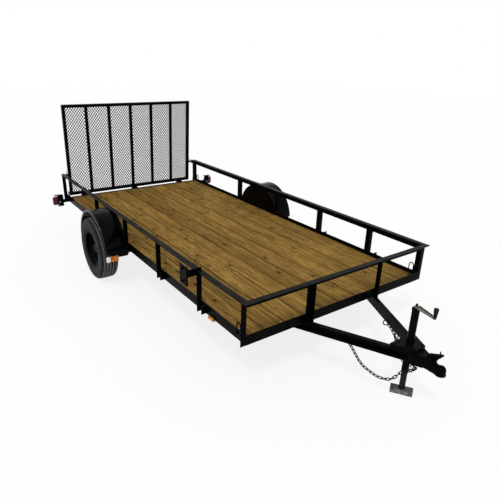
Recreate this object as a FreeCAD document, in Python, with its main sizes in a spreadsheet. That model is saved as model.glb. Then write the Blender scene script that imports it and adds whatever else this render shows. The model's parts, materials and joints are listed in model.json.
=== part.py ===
import FreeCAD, Part
import math
import os

import Sketcher

# A single-axle open utility trailer with a timber deck, angle-iron rails, a drop gate and a jack.
# Millimetres. +X points forward to the coupler, +Y to the left, +Z up, and the ground is Z = 0.

doc = FreeCAD.newDocument("utility_trailer")
sheet = doc.addObject("Spreadsheet::Sheet", "Sizes")

SIZES = {
    # deck and frame
    "deck_length": 4258,
    "deck_width": 1980,
    "frame_above_axle": 159,
    "frame_depth": 84,
    "frame_leg": 64,
    "frame_wall": 5,
    "plank_thick": 38,
    "plank_gap": 4,
    "plank_count": 10,
    "cross_width": 51,
    "cross_depth": 35,
    "cross_wall": 5,
    "cross_count": 9,
    "sill_set": 35,
    "sill_leg": 59,
    # top rails and posts, all of angle iron
    "rail_height": 275,
    "rail_leg": 51,
    "rail_wall": 6,
    "post_leg": 51,
    "post_fin": 45,
    "post_wall": 5,
    "front_post_y": 376,
    "pocket_ahead": 73,
    # places along the trailer, back from the front face of the frame or from the axle
    "post_corner": 2,
    "post_first": 611,
    "post_second": 1341,
    "post_ahead": 421,
    "post_behind": 416,
    "post_rear": 51,
    "axle_back": 2520,
    # drawbar
    "tongue_reach": 813,
    "tongue_back": 1071,
    "tongue_depth": 76,
    "tongue_flange": 41,
    "tongue_wall": 6,
    "tongue_half": 390,
    "coupler_beyond": 151,
    # wheels, tyres and axle
    "tyre_radius": 338,
    "tyre_width": 190,
    "tyre_gap": 80,
    "rim_radius": 203,
    "rim_seat": 190,
    "hub_radius": 62,
    "axle_radius": 30,
    "spindle_radius": 19,
    "spring_inset": 45,
    "spring_width": 45,
    # fenders
    "fender_clear": 60,
    "fender_rise": 22,
    "fender_end": 62,
    "fender_wall": 4,
    "fender_reach": 238,
    "fender_lip": 22,
    # drop gate
    "gate_height": 1215,
    "gate_side": 59,
    "gate_tube": 38,
    "gate_gap": 30,
    "gate_rise": 42,
    "gate_lean": 3.3,
    "gate_bar": 25,
    "gate_bar_wide": 36,
    "gate_panels": 6,
    "mesh_thick": 3,
    "mesh_pitch": 62,
    "mesh_strand": 6,
    # jack
    "jack_behind_ball": 267,
    "jack_radius": 27,
    "jack_wall": 4,
    "jack_top": 712,
    "jack_tube_low": 190,
    "jack_travel": 140,
    "foot_length": 166,
    "foot_width": 60,
    "foot_height": 42,
    # clearances
    "slide_clear": 0.3,
    "hub_clear": 1,
}
for row, (alias, value) in enumerate(SIZES.items(), start=1):
    sheet.set("A%d" % row, alias)
    sheet.set("B%d" % row, str(value))
    sheet.setAlias("B%d" % row, alias)
doc.recompute()


def size(alias):
    """The value of one cell of the sheet, for the shapes that code works out."""
    return float(sheet.get(alias))


def expr(text):
    """An expression in which every alias is written with the sheet's name."""
    words = []
    word = ""
    for letter in text + " ":
        if letter.isalnum() or letter == "_":
            word += letter
            continue
        words.append("Sizes." + word if word in SIZES else word)
        words.append(letter)
        word = ""
    return "".join(words).strip()


def sheet_value(text):
    """The number that an expression of the sheet comes to."""
    return float(sheet.evalExpression(expr(text)))


# Places that follow from the sizes
BALL_TO_NOSE = 40.0
FRONT = "(deck_length + gate_gap + gate_tube - tongue_reach - coupler_beyond) / 2"
REAR = FRONT + " - deck_length"
SIDE = "deck_width / 2"
FRAME_TOP = "tyre_radius + frame_above_axle"
FRAME_LOW = FRAME_TOP + " - frame_depth"
BOARD_LOW = FRAME_LOW + " + frame_wall"
DECK_TOP = BOARD_LOW + " + plank_thick"
AXLE_X = FRONT + " - axle_back"
front_x = sheet_value(FRONT)
rear_x = sheet_value(REAR)
side_y = sheet_value(SIDE)
frame_top = sheet_value(FRAME_TOP)
frame_low = sheet_value(FRAME_LOW)
ball_x = front_x + size("tongue_reach") + size("coupler_beyond") - BALL_TO_NOSE

nodes = {}


def node(obj, name):
    """Give an object the name of the sub-part that it is."""
    obj.Label = name
    nodes[name] = obj
    return obj


def put(obj, x="0", y="0", z="0", turn=None):
    """Place an object by expressions, after an optional turn (axis, degrees)."""
    if turn:
        obj.Placement = FreeCAD.Placement(FreeCAD.Vector(0, 0, 0), FreeCAD.Rotation(*turn))
    obj.setExpression("Placement.Base.x", expr(x))
    obj.setExpression("Placement.Base.y", expr(y))
    obj.setExpression("Placement.Base.z", expr(z))
    return obj


def block(name, length, width, height, x, y, z, turn=None):
    """A box whose sizes and lowest corner are expressions."""
    obj = doc.addObject("Part::Box", name)
    obj.setExpression("Length", expr(length))
    obj.setExpression("Width", expr(width))
    obj.setExpression("Height", expr(height))
    return put(obj, x, y, z, turn)


def rod(name, radius, length, x, y, z, turn=None):
    """A cylinder that starts at a point, along Z unless turned."""
    obj = doc.addObject("Part::Cylinder", name)
    obj.setExpression("Radius", expr(radius))
    obj.setExpression("Height", expr(length))
    return put(obj, x, y, z, turn)


X_AXIS = FreeCAD.Vector(1, 0, 0)
Y_AXIS = FreeCAD.Vector(0, 1, 0)
Z_AXIS = FreeCAD.Vector(0, 0, 1)
ALONG_Y = (X_AXIS, -90)


def profile(name, corners, length, x, y, z, turn=None):
    """A body padded from a closed outline of expression pairs in its own XY plane."""
    body = doc.addObject("PartDesign::Body", name)
    sketch = body.newObject("Sketcher::SketchObject", name + "_outline")
    plane = [f for f in body.Origin.OriginFeatures if f.Role == "XY_Plane"][0]
    sketch.AttachmentSupport = (plane, "")
    sketch.MapMode = "FlatFace"
    values = [(sheet_value(a), sheet_value(b)) for a, b in corners]
    count = len(values)
    for i in range(count):
        first = FreeCAD.Vector(values[i][0], values[i][1], 0)
        second = FreeCAD.Vector(values[(i + 1) % count][0], values[(i + 1) % count][1], 0)
        sketch.addGeometry(Part.LineSegment(first, second), False)
    for i in range(count):
        sketch.addConstraint(Sketcher.Constraint("Coincident", i, 2, (i + 1) % count, 1))
    for i, (a, b) in enumerate(corners):
        pin_corner(sketch, i, "DistanceX", -2, a, values[i][0])
        pin_corner(sketch, i, "DistanceY", -1, b, values[i][1])
    pad = body.newObject("PartDesign::Pad", name + "_pad")
    pad.Profile = sketch
    pad.setExpression("Length", expr(length))
    body.Tip = pad
    return put(body, x, y, z, turn)


def pin_corner(sketch, index, kind, axis, text, value):
    """Hold one coordinate of a corner to an expression, or to the axis where it is nought."""
    if text == "0":
        sketch.addConstraint(Sketcher.Constraint("PointOnObject", index, 1, axis))
        return
    sketch.addConstraint(Sketcher.Constraint(kind, -1, 1, index, 1, value))
    sketch.setExpression("Constraints[%d]" % (sketch.ConstraintCount - 1), expr(text))


def mirrored(source, name):
    """The same piece on the other side of the middle plane of the trailer."""
    obj = doc.addObject("Part::Mirroring", name)
    obj.Source = source
    obj.Normal = (0, 1, 0)
    return obj


def group(name, pieces):
    """Several solids that make one sub-part."""
    obj = doc.addObject("Part::Compound", name)
    obj.Links = pieces
    return obj


def fused(name, pieces):
    """Several shapes welded into one solid."""
    obj = doc.addObject("Part::MultiFuse", name)
    obj.Shapes = pieces
    return obj


def cut(name, base, tool):
    """One shape less another."""
    obj = doc.addObject("Part::Cut", name)
    obj.Base = base
    obj.Tool = tool
    return obj


def made(name, shape):
    """A shape that the code works out from the sheet's numbers."""
    obj = doc.addObject("Part::Feature", name)
    obj.Shape = shape
    return obj


def slab(points, depth):
    """A flat outline of points, extruded by a vector."""
    vectors = [FreeCAD.Vector(*p) for p in points]
    return Part.Face(Part.makePolygon(vectors + [vectors[0]])).extrude(FreeCAD.Vector(*depth))


def bar(radius, length, x, y, z, axis):
    """A round bar that starts at a point and runs along an axis."""
    return Part.makeCylinder(radius, length, FreeCAD.Vector(x, y, z), axis)


def plate(length, width, height, x, y, z):
    """A rectangular plate with its lowest corner at a point."""
    return Part.makeBox(length, width, height, FreeCAD.Vector(x, y, z))


# Turns that stand a profile's length along the trailer or across it: the outline's first
# number then runs across or along, and its second number upwards.
LENGTHWISE = (FreeCAD.Vector(1, 1, 1), 120)
CROSSWISE = (X_AXIS, 90)


def angle_corners(across, up, wall, flip_across=False, flip_up=False):
    """The outline of an angle bar with its corner at the origin."""
    def one(text, flip):
        if text == "0":
            return "0"
        return "-(%s)" % text if flip else text
    points = [("0", "0"), (across, "0"), (across, wall), (wall, wall), (wall, up), ("0", up)]
    return [(one(a, flip_across), one(b, flip_up)) for a, b in points]


# Deck frame
# The side members are angles with the long leg upright outside and the short leg inward below.
side_member = profile("frame_side_right_bar", angle_corners("frame_leg", "frame_depth", "frame_wall"),
                      "deck_length", REAR, "-" + SIDE, FRAME_LOW, LENGTHWISE)
side_left = mirrored(side_member, "frame_side_left_bar")
node(side_member, "frame_side_right")
node(side_left, "frame_side_left")
INSIDE = "deck_width - 2 * frame_wall"
front_member = profile("frame_front_bar",
                       angle_corners("frame_leg", "frame_depth", "frame_wall", flip_across=True),
                       INSIDE, FRONT, SIDE + " - frame_wall", FRAME_LOW, CROSSWISE)
# The rear member's flat leg is the sill behind the planks.
rear_member = profile("frame_rear_bar",
                      angle_corners("sill_leg", "plank_thick + frame_wall", "frame_wall", flip_up=True),
                      INSIDE, REAR + " + sill_set", SIDE + " - frame_wall", DECK_TOP, CROSSWISE)


def coped(name, member):
    """An end member, cut away where the lower legs of the side members pass."""
    tools = []
    for tag, y in (("right", "-" + SIDE), ("left", SIDE + " - frame_leg")):
        tools.append(block(name + "_cope_" + tag, "deck_length", "frame_leg", "frame_wall",
                           REAR, y, FRAME_LOW))
    return cut(name + "_coped", member, group(name + "_copes", tools))


node(coped("frame_front", front_member), "frame_front")
node(coped("frame_rear", rear_member), "frame_rear")

# Drawbar: two channels that run under the frame and meet under the coupler
tongue_half = size("tongue_half")
tongue_slope = tongue_half / size("tongue_reach")
tongue_angle = math.atan(tongue_slope)
tongue_wide = size("tongue_flange") / math.cos(tongue_angle)
tongue_top = frame_low
tongue_low = tongue_top - size("tongue_depth")


def tongue_strip(near, far, low, high):
    """A slab along the right drawbar channel, between two distances from its inner face."""
    back_x = front_x - size("tongue_back")
    meet_x = front_x + (tongue_half - size("tongue_flange")) / tongue_slope

    def line_y(x, offset):
        return tongue_wide / 2 + tongue_slope * (x - front_x) - tongue_half - offset
    corners = [(back_x, line_y(back_x, near), low), (meet_x, line_y(meet_x, near), low),
               (meet_x, line_y(meet_x, far), low), (back_x, line_y(back_x, far), low)]
    return slab(corners, (0, 0, high - low))


def tongue_member():
    """The right channel of the drawbar, open outward, cut square to the trailer at both ends."""
    wall = size("tongue_wall")
    web = wall / math.cos(tongue_angle)
    whole = tongue_strip(0, tongue_wide, tongue_low, tongue_top)
    return whole.cut(tongue_strip(web, tongue_wide + wall, tongue_low + wall, tongue_top - wall))


tongue_right = made("tongue_channel_right", tongue_member())
node(tongue_right, "tongue_right")
node(mirrored(tongue_right, "tongue_channel_left"), "tongue_left")

# Cross members: angles level with the side members' lower legs, notched over the drawbar
notch_right = made("tongue_notch_right", tongue_strip(0, tongue_wide, tongue_low, tongue_top))
tongue_notches = group("tongue_notches", [notch_right, mirrored(notch_right, "tongue_notch_left")])
cross_list = []
cross_count = int(size("cross_count"))
for index in range(cross_count):
    share = (index + 1) / (cross_count + 1)
    cross_list.append(profile("cross_member_%d" % (index + 1),
                              angle_corners("cross_width", "cross_depth", "cross_wall", flip_up=True),
                              "deck_width - 2 * frame_leg", REAR + " + deck_length * %.6f" % share,
                              SIDE + " - frame_leg", BOARD_LOW, CROSSWISE))
cross_members = cut("cross_member_set", group("cross_member_bars", cross_list), tongue_notches)
node(cross_members, "cross_members")

# Deck planks, laid lengthwise from the sill to the front member
plank_list = []
plank_count = int(size("plank_count"))
PLANK_PITCH = "(deck_width - 2 * frame_wall + plank_gap) / plank_count"
for index in range(plank_count):
    plank_list.append(block("plank_%d" % (index + 1), "deck_length - frame_wall - sill_set - sill_leg",
                            PLANK_PITCH + " - plank_gap", "plank_thick", REAR + " + sill_set + sill_leg",
                            "%s * %d + frame_wall - %s" % (PLANK_PITCH, index, SIDE), BOARD_LOW))
node(group("plank_set", plank_list), "deck_planks")

# Top rails: the flange lies on top and reaches outward, the other leg hangs inside the posts.
RAIL_TOP = FRAME_TOP + " + rail_height"
RAIL_REACH = "rail_leg - rail_wall"
rail_top = sheet_value(RAIL_TOP)
rail_out = sheet_value(SIDE + " + " + RAIL_REACH)
rail_bar = profile("rail_right_bar", angle_corners("rail_leg", "rail_leg", "rail_wall", True, True),
                   "deck_length + " + RAIL_REACH, REAR, "-(%s) + rail_wall" % SIDE, RAIL_TOP, LENGTHWISE)
# Ahead of the frame only the flange goes on, to meet the front rail's.
rail_end = block("rail_right_end", "rail_leg", "rail_leg", "rail_leg", FRONT, "-(%s)" % SIDE,
                 RAIL_TOP + " - rail_wall - rail_leg")
rail_right = cut("rail_right_cut", rail_bar, rail_end)
node(rail_right, "rail_right")
node(mirrored(rail_right, "rail_left_cut"), "rail_left")
rail_front = profile("rail_front_bar", angle_corners("rail_leg", "rail_leg", "rail_wall", False, True),
                     "deck_width - 2 * rail_wall", FRONT + " - rail_wall", SIDE + " - rail_wall",
                     RAIL_TOP, CROSSWISE)
node(rail_front, "rail_front")

# Posts: one leg flat on the outside of the frame, the other leg standing out at its front edge
POST_TALL = "frame_depth + rail_height - rail_wall"


def side_post(name, place):
    """An angle post on the right side of the frame."""
    return profile(name, angle_corners("post_leg", "post_fin", "post_wall", True, True),
                   POST_TALL, place, "-" + SIDE, FRAME_LOW)


post_places = (FRONT + " - post_corner", FRONT + " - post_first", FRONT + " - post_second",
               AXLE_X + " + post_ahead", AXLE_X + " - post_behind", REAR + " + post_rear")
posts_right = group("post_set_right", [side_post("post_right_%d" % i, place)
                                       for i, place in enumerate(post_places, start=1)])
node(posts_right, "posts_right")
node(mirrored(posts_right, "post_set_left"), "posts_left")
front_post = profile("front_post_right", angle_corners("post_fin", "post_leg", "post_wall", flip_up=True),
                     POST_TALL, FRONT, "-front_post_y", FRAME_LOW)
node(group("front_post_set", [front_post, mirrored(front_post, "front_post_left")]), "posts_front")

# Stake pockets: a fin ahead of two posts on each side
pocket_list = []
for index, back in enumerate(("post_first", "post_second"), start=1):
    pocket_list.append(block("pocket_fin_%d" % index, "post_wall", "post_leg", "frame_depth - 2 * post_wall",
                             FRONT + " - " + back + " + pocket_ahead", "-(%s) - post_leg" % SIDE,
                             FRAME_LOW + " + 2 * post_wall"))
pockets = group("pocket_set_right", pocket_list)
node(pockets, "stake_pockets_right")
node(mirrored(pockets, "pocket_set_left"), "stake_pockets_left")

# Wheels: everything is turned about the axle line, with outward as minus Y on the right side.
axle_x = sheet_value(AXLE_X)
axle_z = size("tyre_radius")
tyre_half = size("tyre_width") / 2
wheel_y = side_y + size("tyre_gap") + tyre_half


def turned(points, y=0.0):
    """A solid turned about the Y axis from (radius, distance) corners, set at the axle line."""
    corners = [FreeCAD.Vector(radius, along, 0) for radius, along in points]
    face = Part.Face(Part.makePolygon(corners + [corners[0]]))
    solid = face.revolve(FreeCAD.Vector(0, 0, 0), Y_AXIS, 360)
    solid.translate(FreeCAD.Vector(axle_x, y, axle_z))
    return solid


def tyre_shape():
    """The right tyre, a closed ring with rounded shoulders."""
    outer = size("tyre_radius")
    lip = size("rim_radius")
    side = [(size("rim_seat"), 0.72), (lip + 2, 0.74), (lip + 9, 0.88), (outer * 0.70, 0.97),
            (outer * 0.80, 1.00), (outer * 0.88, 0.98), (outer * 0.935, 0.93), (outer * 0.97, 0.84),
            (outer * 0.99, 0.72), (outer, 0.54)]
    corners = [(radius, tyre_half * along) for radius, along in side]
    return turned(corners + [(radius, -along) for radius, along in reversed(corners)], -wheel_y)


RIM_WINDOWS = 8
WINDOW_RADIUS = 17.0
WINDOW_OUT = 128.0
HUB_BARREL = 31.0
RIM_BORE = HUB_BARREL + 0.5


def rim_shape():
    """The right rim: a barrel with two flanges, and a disc with a ring of windows."""
    seat = size("rim_seat")
    lip = size("rim_radius")
    barrel = turned([(seat - 5, tyre_half * 0.86), (lip, tyre_half * 0.88), (lip, tyre_half * 0.76),
                     (seat, tyre_half * 0.72), (seat, tyre_half * 0.10), (seat - 14, tyre_half * 0.02),
                     (seat - 14, -tyre_half * 0.30), (seat, -tyre_half * 0.40), (seat, -tyre_half * 0.72),
                     (lip, -tyre_half * 0.76), (lip, -tyre_half * 0.88), (seat - 5, -tyre_half * 0.86),
                     (seat - 5, -tyre_half * 0.42), (seat - 19, -tyre_half * 0.32),
                     (seat - 19, tyre_half * 0.04), (seat - 5, tyre_half * 0.12)], -wheel_y)
    hat = size("hub_radius") + 12
    disc = turned([(RIM_BORE, 2), (hat, 2), (hat + 18, -14), (seat - 30, -20), (seat - 16, -6),
                   (seat - 16, -14), (seat - 28, -28), (hat + 14, -22), (hat - 2, -6),
                   (RIM_BORE, -6)], -wheel_y)
    windows = []
    for index in range(RIM_WINDOWS):
        window = bar(WINDOW_RADIUS, tyre_half, axle_x + WINDOW_OUT, -wheel_y - tyre_half / 2, axle_z, Y_AXIS)
        window.rotate(FreeCAD.Vector(axle_x, 0, axle_z), Y_AXIS, 360 / RIM_WINDOWS * (index + 0.5))
        windows.append(window)
    return barrel.fuse(disc).cut(Part.makeCompound(windows))


def hub_shape():
    """The right hub with its flange and grease cap, bored for the spindle."""
    bore = size("spindle_radius") + size("hub_clear")
    wide = size("hub_radius")
    return turned([(bore, 60), (38, 60), (38, 12), (wide, 12), (wide, 2), (HUB_BARREL, 2), (HUB_BARREL, -45), (26, -54),
                   (10, -58), (0, -58), (0, -52), (bore, -52)], -wheel_y)


for kind, shape in (("tyre", tyre_shape()), ("rim", rim_shape()), ("hub", hub_shape())):
    right = made(kind + "_shape", shape)
    node(right, kind + "_right")
    node(mirrored(right, kind + "_mirror"), kind + "_left")

# Axle: a round tube with a spindle at each end, under leaf springs
WHEEL_Y = SIDE + " + tyre_gap + tyre_width / 2"
SPINDLE_END = WHEEL_Y + " + 46"
TUBE_END = WHEEL_Y + " - 84"
axle_tube = rod("axle_tube", "axle_radius", "2 * (%s)" % TUBE_END, AXLE_X, "-(%s)" % TUBE_END,
                "tyre_radius", ALONG_Y)
spindle = rod("axle_spindle", "spindle_radius", "2 * (%s)" % SPINDLE_END, AXLE_X, "-(%s)" % SPINDLE_END,
              "tyre_radius", ALONG_Y)
node(fused("axle_fused", [axle_tube, spindle]), "axle")

spring_y = side_y - size("spring_inset")
spring_wide = size("spring_width")
spring_half = 320.0
spring_rise = 50.0
leaf_thick = 7.0
seat_z = axle_z - size("axle_radius")
spring_curve = (spring_half ** 2 + spring_rise ** 2) / (2 * spring_rise)
eye_ring = 17.0
eye_bore = 9.0
eye_z = seat_z + spring_rise + 6


def leaf(order, half_length):
    """One leaf of the right spring, numbered from the longest one on top."""
    centre_z = seat_z + spring_curve
    reach = math.asin(half_length / spring_curve)
    points = []
    for radius in (spring_curve + order * leaf_thick, spring_curve + (order + 1) * leaf_thick):
        points.append([FreeCAD.Vector(axle_x + radius * math.sin(a), -spring_y - spring_wide / 2,
                                      centre_z - radius * math.cos(a)) for a in (-reach, 0, reach)])
    top, low = points
    edges = [Part.Arc(*top).toShape(), Part.makeLine(top[2], low[2]),
             Part.Arc(*reversed(low)).toShape(), Part.makeLine(low[0], top[0])]
    return Part.Face(Part.Wire(edges)).extrude(FreeCAD.Vector(0, spring_wide, 0))


def spring_shape():
    """The right spring: four leaves and a rolled eye at each end."""
    pack = leaf(0, spring_half)
    for order, share in ((1, 0.82), (2, 0.6), (3, 0.38)):
        pack = pack.fuse(leaf(order, spring_half * share))
    for way in (-1, 1):
        place = (axle_x + way * spring_half, -spring_y - spring_wide / 2, eye_z)
        pack = pack.fuse(bar(eye_ring, spring_wide, *place, Y_AXIS))
        pack = pack.cut(bar(eye_bore, spring_wide, *place, Y_AXIS))
    return pack


spring_right = made("spring_shape", spring_shape())
node(group("spring_pair", [spring_right, mirrored(spring_right, "spring_mirror")]), "leaf_springs")

CHEEK_LENGTH = 56.0
CHEEK_WALL = 6.0
CHEEK_BELOW_EYE = 22.0
CHEEK_CLEAR = 1.0
PIN_BEYOND = 13.0


def hanger_shape(way):
    """Two cheek plates under the frame and the pin that carries one spring eye."""
    x = axle_x + way * spring_half
    half = spring_wide / 2
    low = eye_z - CHEEK_BELOW_EYE
    cheeks = [plate(CHEEK_LENGTH, CHEEK_WALL, frame_low - low, x - CHEEK_LENGTH / 2, y, low)
              for y in (-spring_y - half - CHEEK_CLEAR - CHEEK_WALL, -spring_y + half + CHEEK_CLEAR)]
    pin = bar(eye_bore, spring_wide + 2 * PIN_BEYOND, x, -spring_y - half - PIN_BEYOND, eye_z, Y_AXIS)
    return cheeks[0].fuse([cheeks[1], pin])


hangers = [made("hanger_front", hanger_shape(1)), made("hanger_rear", hanger_shape(-1))]
hangers += [mirrored(hangers[0], "hanger_front_left"), mirrored(hangers[1], "hanger_rear_left")]
node(group("hanger_set", hangers), "spring_hangers")

BOLT_RADIUS = 5.0
BOLT_OUT = 8.0
BOLT_BELOW = 14.0
CLAMP_LENGTH = 120.0
CLAMP_SIDE = 17.0
CLAMP_WALL = 8.0


def clamp_shape():
    """The plate below the spring and two bolts bent over the axle."""
    half = spring_wide / 2
    bend = size("axle_radius") + BOLT_RADIUS
    low = seat_z - 4 * leaf_thick
    shape = plate(CLAMP_LENGTH, spring_wide + 2 * CLAMP_SIDE, CLAMP_WALL,
                  axle_x - CLAMP_LENGTH / 2, -spring_y - half - CLAMP_SIDE, low - CLAMP_WALL)
    for y in (-spring_y - half - BOLT_OUT, -spring_y + half + BOLT_OUT):
        legs = [bar(BOLT_RADIUS, axle_z - low + BOLT_BELOW, axle_x + way * bend, y, low - BOLT_BELOW, Z_AXIS)
                for way in (-1, 1)]
        arch = Part.makeTorus(bend, BOLT_RADIUS, FreeCAD.Vector(axle_x, y, axle_z), Y_AXIS)
        upper = plate(4 * bend, 2 * CLAMP_SIDE, 2 * bend, axle_x - 2 * bend, y - CLAMP_SIDE, axle_z)
        shape = shape.fuse(legs + [arch.common(upper)])
    return shape


clamp_right = made("clamp_shape", clamp_shape())
node(group("clamp_pair", [clamp_right, mirrored(clamp_right, "clamp_mirror")]), "axle_clamps")

# Fenders: a rolled sheet over the wheel, a wall on its inner side, a lip along its outer edge
# and a stiffening plate across each end
fender_in = side_y + size("post_wall")
fender_out = side_y + size("fender_reach")
fender_radius = size("tyre_radius") + size("fender_clear")
fender_mid = axle_z + size("fender_rise")
fender_low = axle_z + size("fender_end")
fender_chord = math.sqrt(fender_radius ** 2 - (fender_low - fender_mid) ** 2)
STIFFENER_DROP = 50.0
STIFFENER_RISE = 30.0
STIFFENER_FLAT = 95.0
STIFFENER_SHORT = 14.0


def half_disc(radius, y, thick):
    """An upright plate with a round top, cut off at the fender's lower edge."""
    chord = math.sqrt(radius ** 2 - (fender_low - fender_mid) ** 2)
    start = FreeCAD.Vector(axle_x - chord, y, fender_low)
    end = FreeCAD.Vector(axle_x + chord, y, fender_low)
    top = FreeCAD.Vector(axle_x, y, fender_mid + radius)
    edges = [Part.Arc(start, top, end).toShape(), Part.makeLine(end, start)]
    return Part.Face(Part.Wire(edges)).extrude(FreeCAD.Vector(0, thick, 0))


def stiffener(x):
    """The plate across one end of the right fender."""
    wall = size("fender_wall")
    return slab([(x, -fender_in, fender_low - STIFFENER_DROP),
                 (x, -fender_in - STIFFENER_FLAT, fender_low - STIFFENER_DROP),
                 (x, -fender_out + STIFFENER_SHORT, fender_low),
                 (x, -fender_out + STIFFENER_SHORT, fender_low + STIFFENER_RISE),
                 (x, -fender_in, fender_low + STIFFENER_RISE)], (wall, 0, 0))


def fender_shape():
    """The right fender: arch, inner wall, lip and the stiffeners across its ends."""
    wall = size("fender_wall")
    wide = fender_out - fender_in
    arch = half_disc(fender_radius, -fender_out, wide)
    arch = arch.cut(half_disc(fender_radius - wall, -fender_out, wide))
    inner = half_disc(fender_radius, -fender_in - wall, wall)
    inner = inner.cut(plate(2 * fender_radius, wall, frame_low - fender_low,
                            axle_x - fender_radius, -fender_in - wall, fender_low))
    lip = half_disc(fender_radius, -fender_out, wall)
    lip = lip.cut(half_disc(fender_radius - size("fender_lip"), -fender_out, wall))
    ends = [stiffener(axle_x + fender_chord - wall), stiffener(axle_x - fender_chord)]
    return arch.fuse([inner, lip] + ends)


fender_right = made("fender_shape", fender_shape())
node(fender_right, "fender_right")
node(mirrored(fender_right, "fender_mirror"), "fender_left")

# Drop gate: it stands behind the rear member and leans forward about its hinge line.
GATE_RISE = "frame_above_axle + tyre_radius - frame_depth + gate_rise"
HINGE_DROP = 6.0
HINGE_X = REAR + " - gate_gap / 2"
HINGE_Z = GATE_RISE + " - %g" % HINGE_DROP
GATE_WIDTH = "(deck_width - 2 * gate_side)"
GATE_RIGHT = "gate_side - " + SIDE
hinge_x = sheet_value(HINGE_X)
hinge_z = sheet_value(HINGE_Z)
gate_lean = size("gate_lean")
gate_half = sheet_value(GATE_WIDTH) / 2


def leaned(shape):
    """A shape drawn on the upright gate, turned with the gate about its hinge line."""
    turned_shape = shape.copy()
    turned_shape.rotate(FreeCAD.Vector(hinge_x, 0, hinge_z), Y_AXIS, gate_lean)
    return turned_shape


def gate_block(name, length, width, height, y, up):
    """A tube of the gate with its front face level, placed by its height before it leans."""
    rise = "(%s + %g)" % (up, HINGE_DROP)
    back = "-gate_gap / 2 - " + length
    x = "%s + (%s) * cos(gate_lean) + %s * sin(gate_lean)" % (HINGE_X, back, rise)
    z = "%s - (%s) * sin(gate_lean) + %s * cos(gate_lean)" % (HINGE_Z, back, rise)
    return block(name, length, width, height, x, y, z, (Y_AXIS, gate_lean))


gate_pieces = [
    gate_block("gate_bottom", "gate_tube", GATE_WIDTH, "gate_tube", GATE_RIGHT, "0"),
    gate_block("gate_top", "gate_tube", GATE_WIDTH, "gate_tube", GATE_RIGHT, "gate_height - gate_tube"),
    gate_block("gate_side_right", "gate_tube", "gate_tube", "gate_height", GATE_RIGHT, "0"),
    gate_block("gate_side_left", "gate_tube", "gate_tube", "gate_height",
               SIDE + " - gate_side - gate_tube", "0"),
]
gate_panels = int(size("gate_panels"))
for index in range(1, gate_panels):
    gate_pieces.append(gate_block("gate_bar_%d" % index, "gate_bar", "gate_bar_wide",
                                  "gate_height - gate_tube",
                                  "%s * %.6f - gate_bar_wide / 2" % (GATE_WIDTH, index / gate_panels - 0.5),
                                  "gate_tube / 2"))
node(fused("gate_frame_fused", gate_pieces), "gate_frame")

MESH_SLANT = 0.76


def mesh_shapes():
    """Two layers of slanting strands that make the diamonds of the gate's mesh."""
    wide = 2 * gate_half - size("gate_tube")
    tall = size("gate_height") - size("gate_tube")
    thick = size("mesh_thick") / 2
    low_z = hinge_z + HINGE_DROP + size("gate_tube") / 2
    run = tall * MESH_SLANT
    shapes = []
    for layer, way in ((0, 1), (1, -1)):
        x = rear_x - size("gate_gap") + layer * thick
        for index in range(1, int((wide + run) / size("mesh_pitch")) + 1):
            foot = index * size("mesh_pitch") - run
            corners = clip_strip(foot, foot + run, size("mesh_strand"), wide, tall)
            if len(corners) > 2:
                points = [(x, way * (across - wide / 2), low_z + up) for across, up in corners]
                shapes.append(slab(points, (thick, 0, 0)))
    return shapes


def clip_strip(foot, head, strand, wide, tall):
    """The part of one slanting strand that lies inside the panel."""
    corners = [(foot, 0), (foot + strand, 0), (head + strand, tall), (head, tall)]
    for bound, inside in ((0, 1), (wide, -1)):
        kept = []
        for (a, u), (b, v) in zip(corners, corners[1:] + corners[:1]):
            a_in = (a - bound) * inside >= 0
            b_in = (b - bound) * inside >= 0
            if a_in:
                kept.append((a, u))
            if a_in != b_in:
                share = (bound - a) / (b - a)
                kept.append((bound, u + share * (v - u)))
        corners = kept
    return corners


node(made("mesh_strands", leaned(Part.makeCompound(mesh_shapes()))), "gate_mesh")

# Gate hinges: barrels on the gate turn between lugs on the rear member.
BARREL_RADIUS = 11.0
BARREL_WIDE = 60.0
BARREL_BORE = 7.5
HINGE_PIN = 7.0
STRAP_LENGTH = 38.0
STRAP_WALL = 5.0
LUG_WALL = 8.0
LUG_GAP = 1.5
LUG_RADIUS = 12.0
hinge_places = [-gate_half * 0.8, 0.0, gate_half * 0.8]


def hinge_barrel(y):
    """A barrel with the strap that joins it to the gate's bottom tube."""
    start = y - BARREL_WIDE / 2
    strap = plate(STRAP_LENGTH, BARREL_WIDE, STRAP_WALL, hinge_x - STRAP_LENGTH - 2, start,
                  hinge_z + HINGE_DROP - STRAP_WALL)
    link = plate(2 * STRAP_WALL, BARREL_WIDE, STRAP_WALL, hinge_x - 2.4 * STRAP_WALL, start,
                 hinge_z + HINGE_DROP - STRAP_WALL)
    shape = bar(BARREL_RADIUS, BARREL_WIDE, hinge_x, start, hinge_z, Y_AXIS).fuse([strap, link])
    return leaned(shape.cut(bar(BARREL_BORE, BARREL_WIDE, hinge_x, start, hinge_z, Y_AXIS)))


def hinge_lugs(y):
    """Two lugs on the rear member and the pin between them."""
    outer = BARREL_WIDE / 2 + LUG_GAP
    length = rear_x + size("sill_set") - hinge_x
    pieces = []
    for start in (y - outer - LUG_WALL, y + outer):
        pieces.append(bar(LUG_RADIUS, LUG_WALL, hinge_x, start, hinge_z, Y_AXIS))
        pieces.append(plate(length, LUG_WALL, 2 * LUG_RADIUS, hinge_x, start, hinge_z - LUG_RADIUS))
    pin_long = 2 * (outer + 1.5 * LUG_WALL)
    return bar(HINGE_PIN, pin_long, hinge_x, y - pin_long / 2, hinge_z, Y_AXIS).fuse(pieces)


node(made("hinge_barrels", Part.makeCompound([hinge_barrel(y) for y in hinge_places])), "gate_hinge_barrels")
node(made("hinge_lugs", Part.makeCompound([hinge_lugs(y) for y in hinge_places])), "gate_hinge_lugs")

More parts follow.
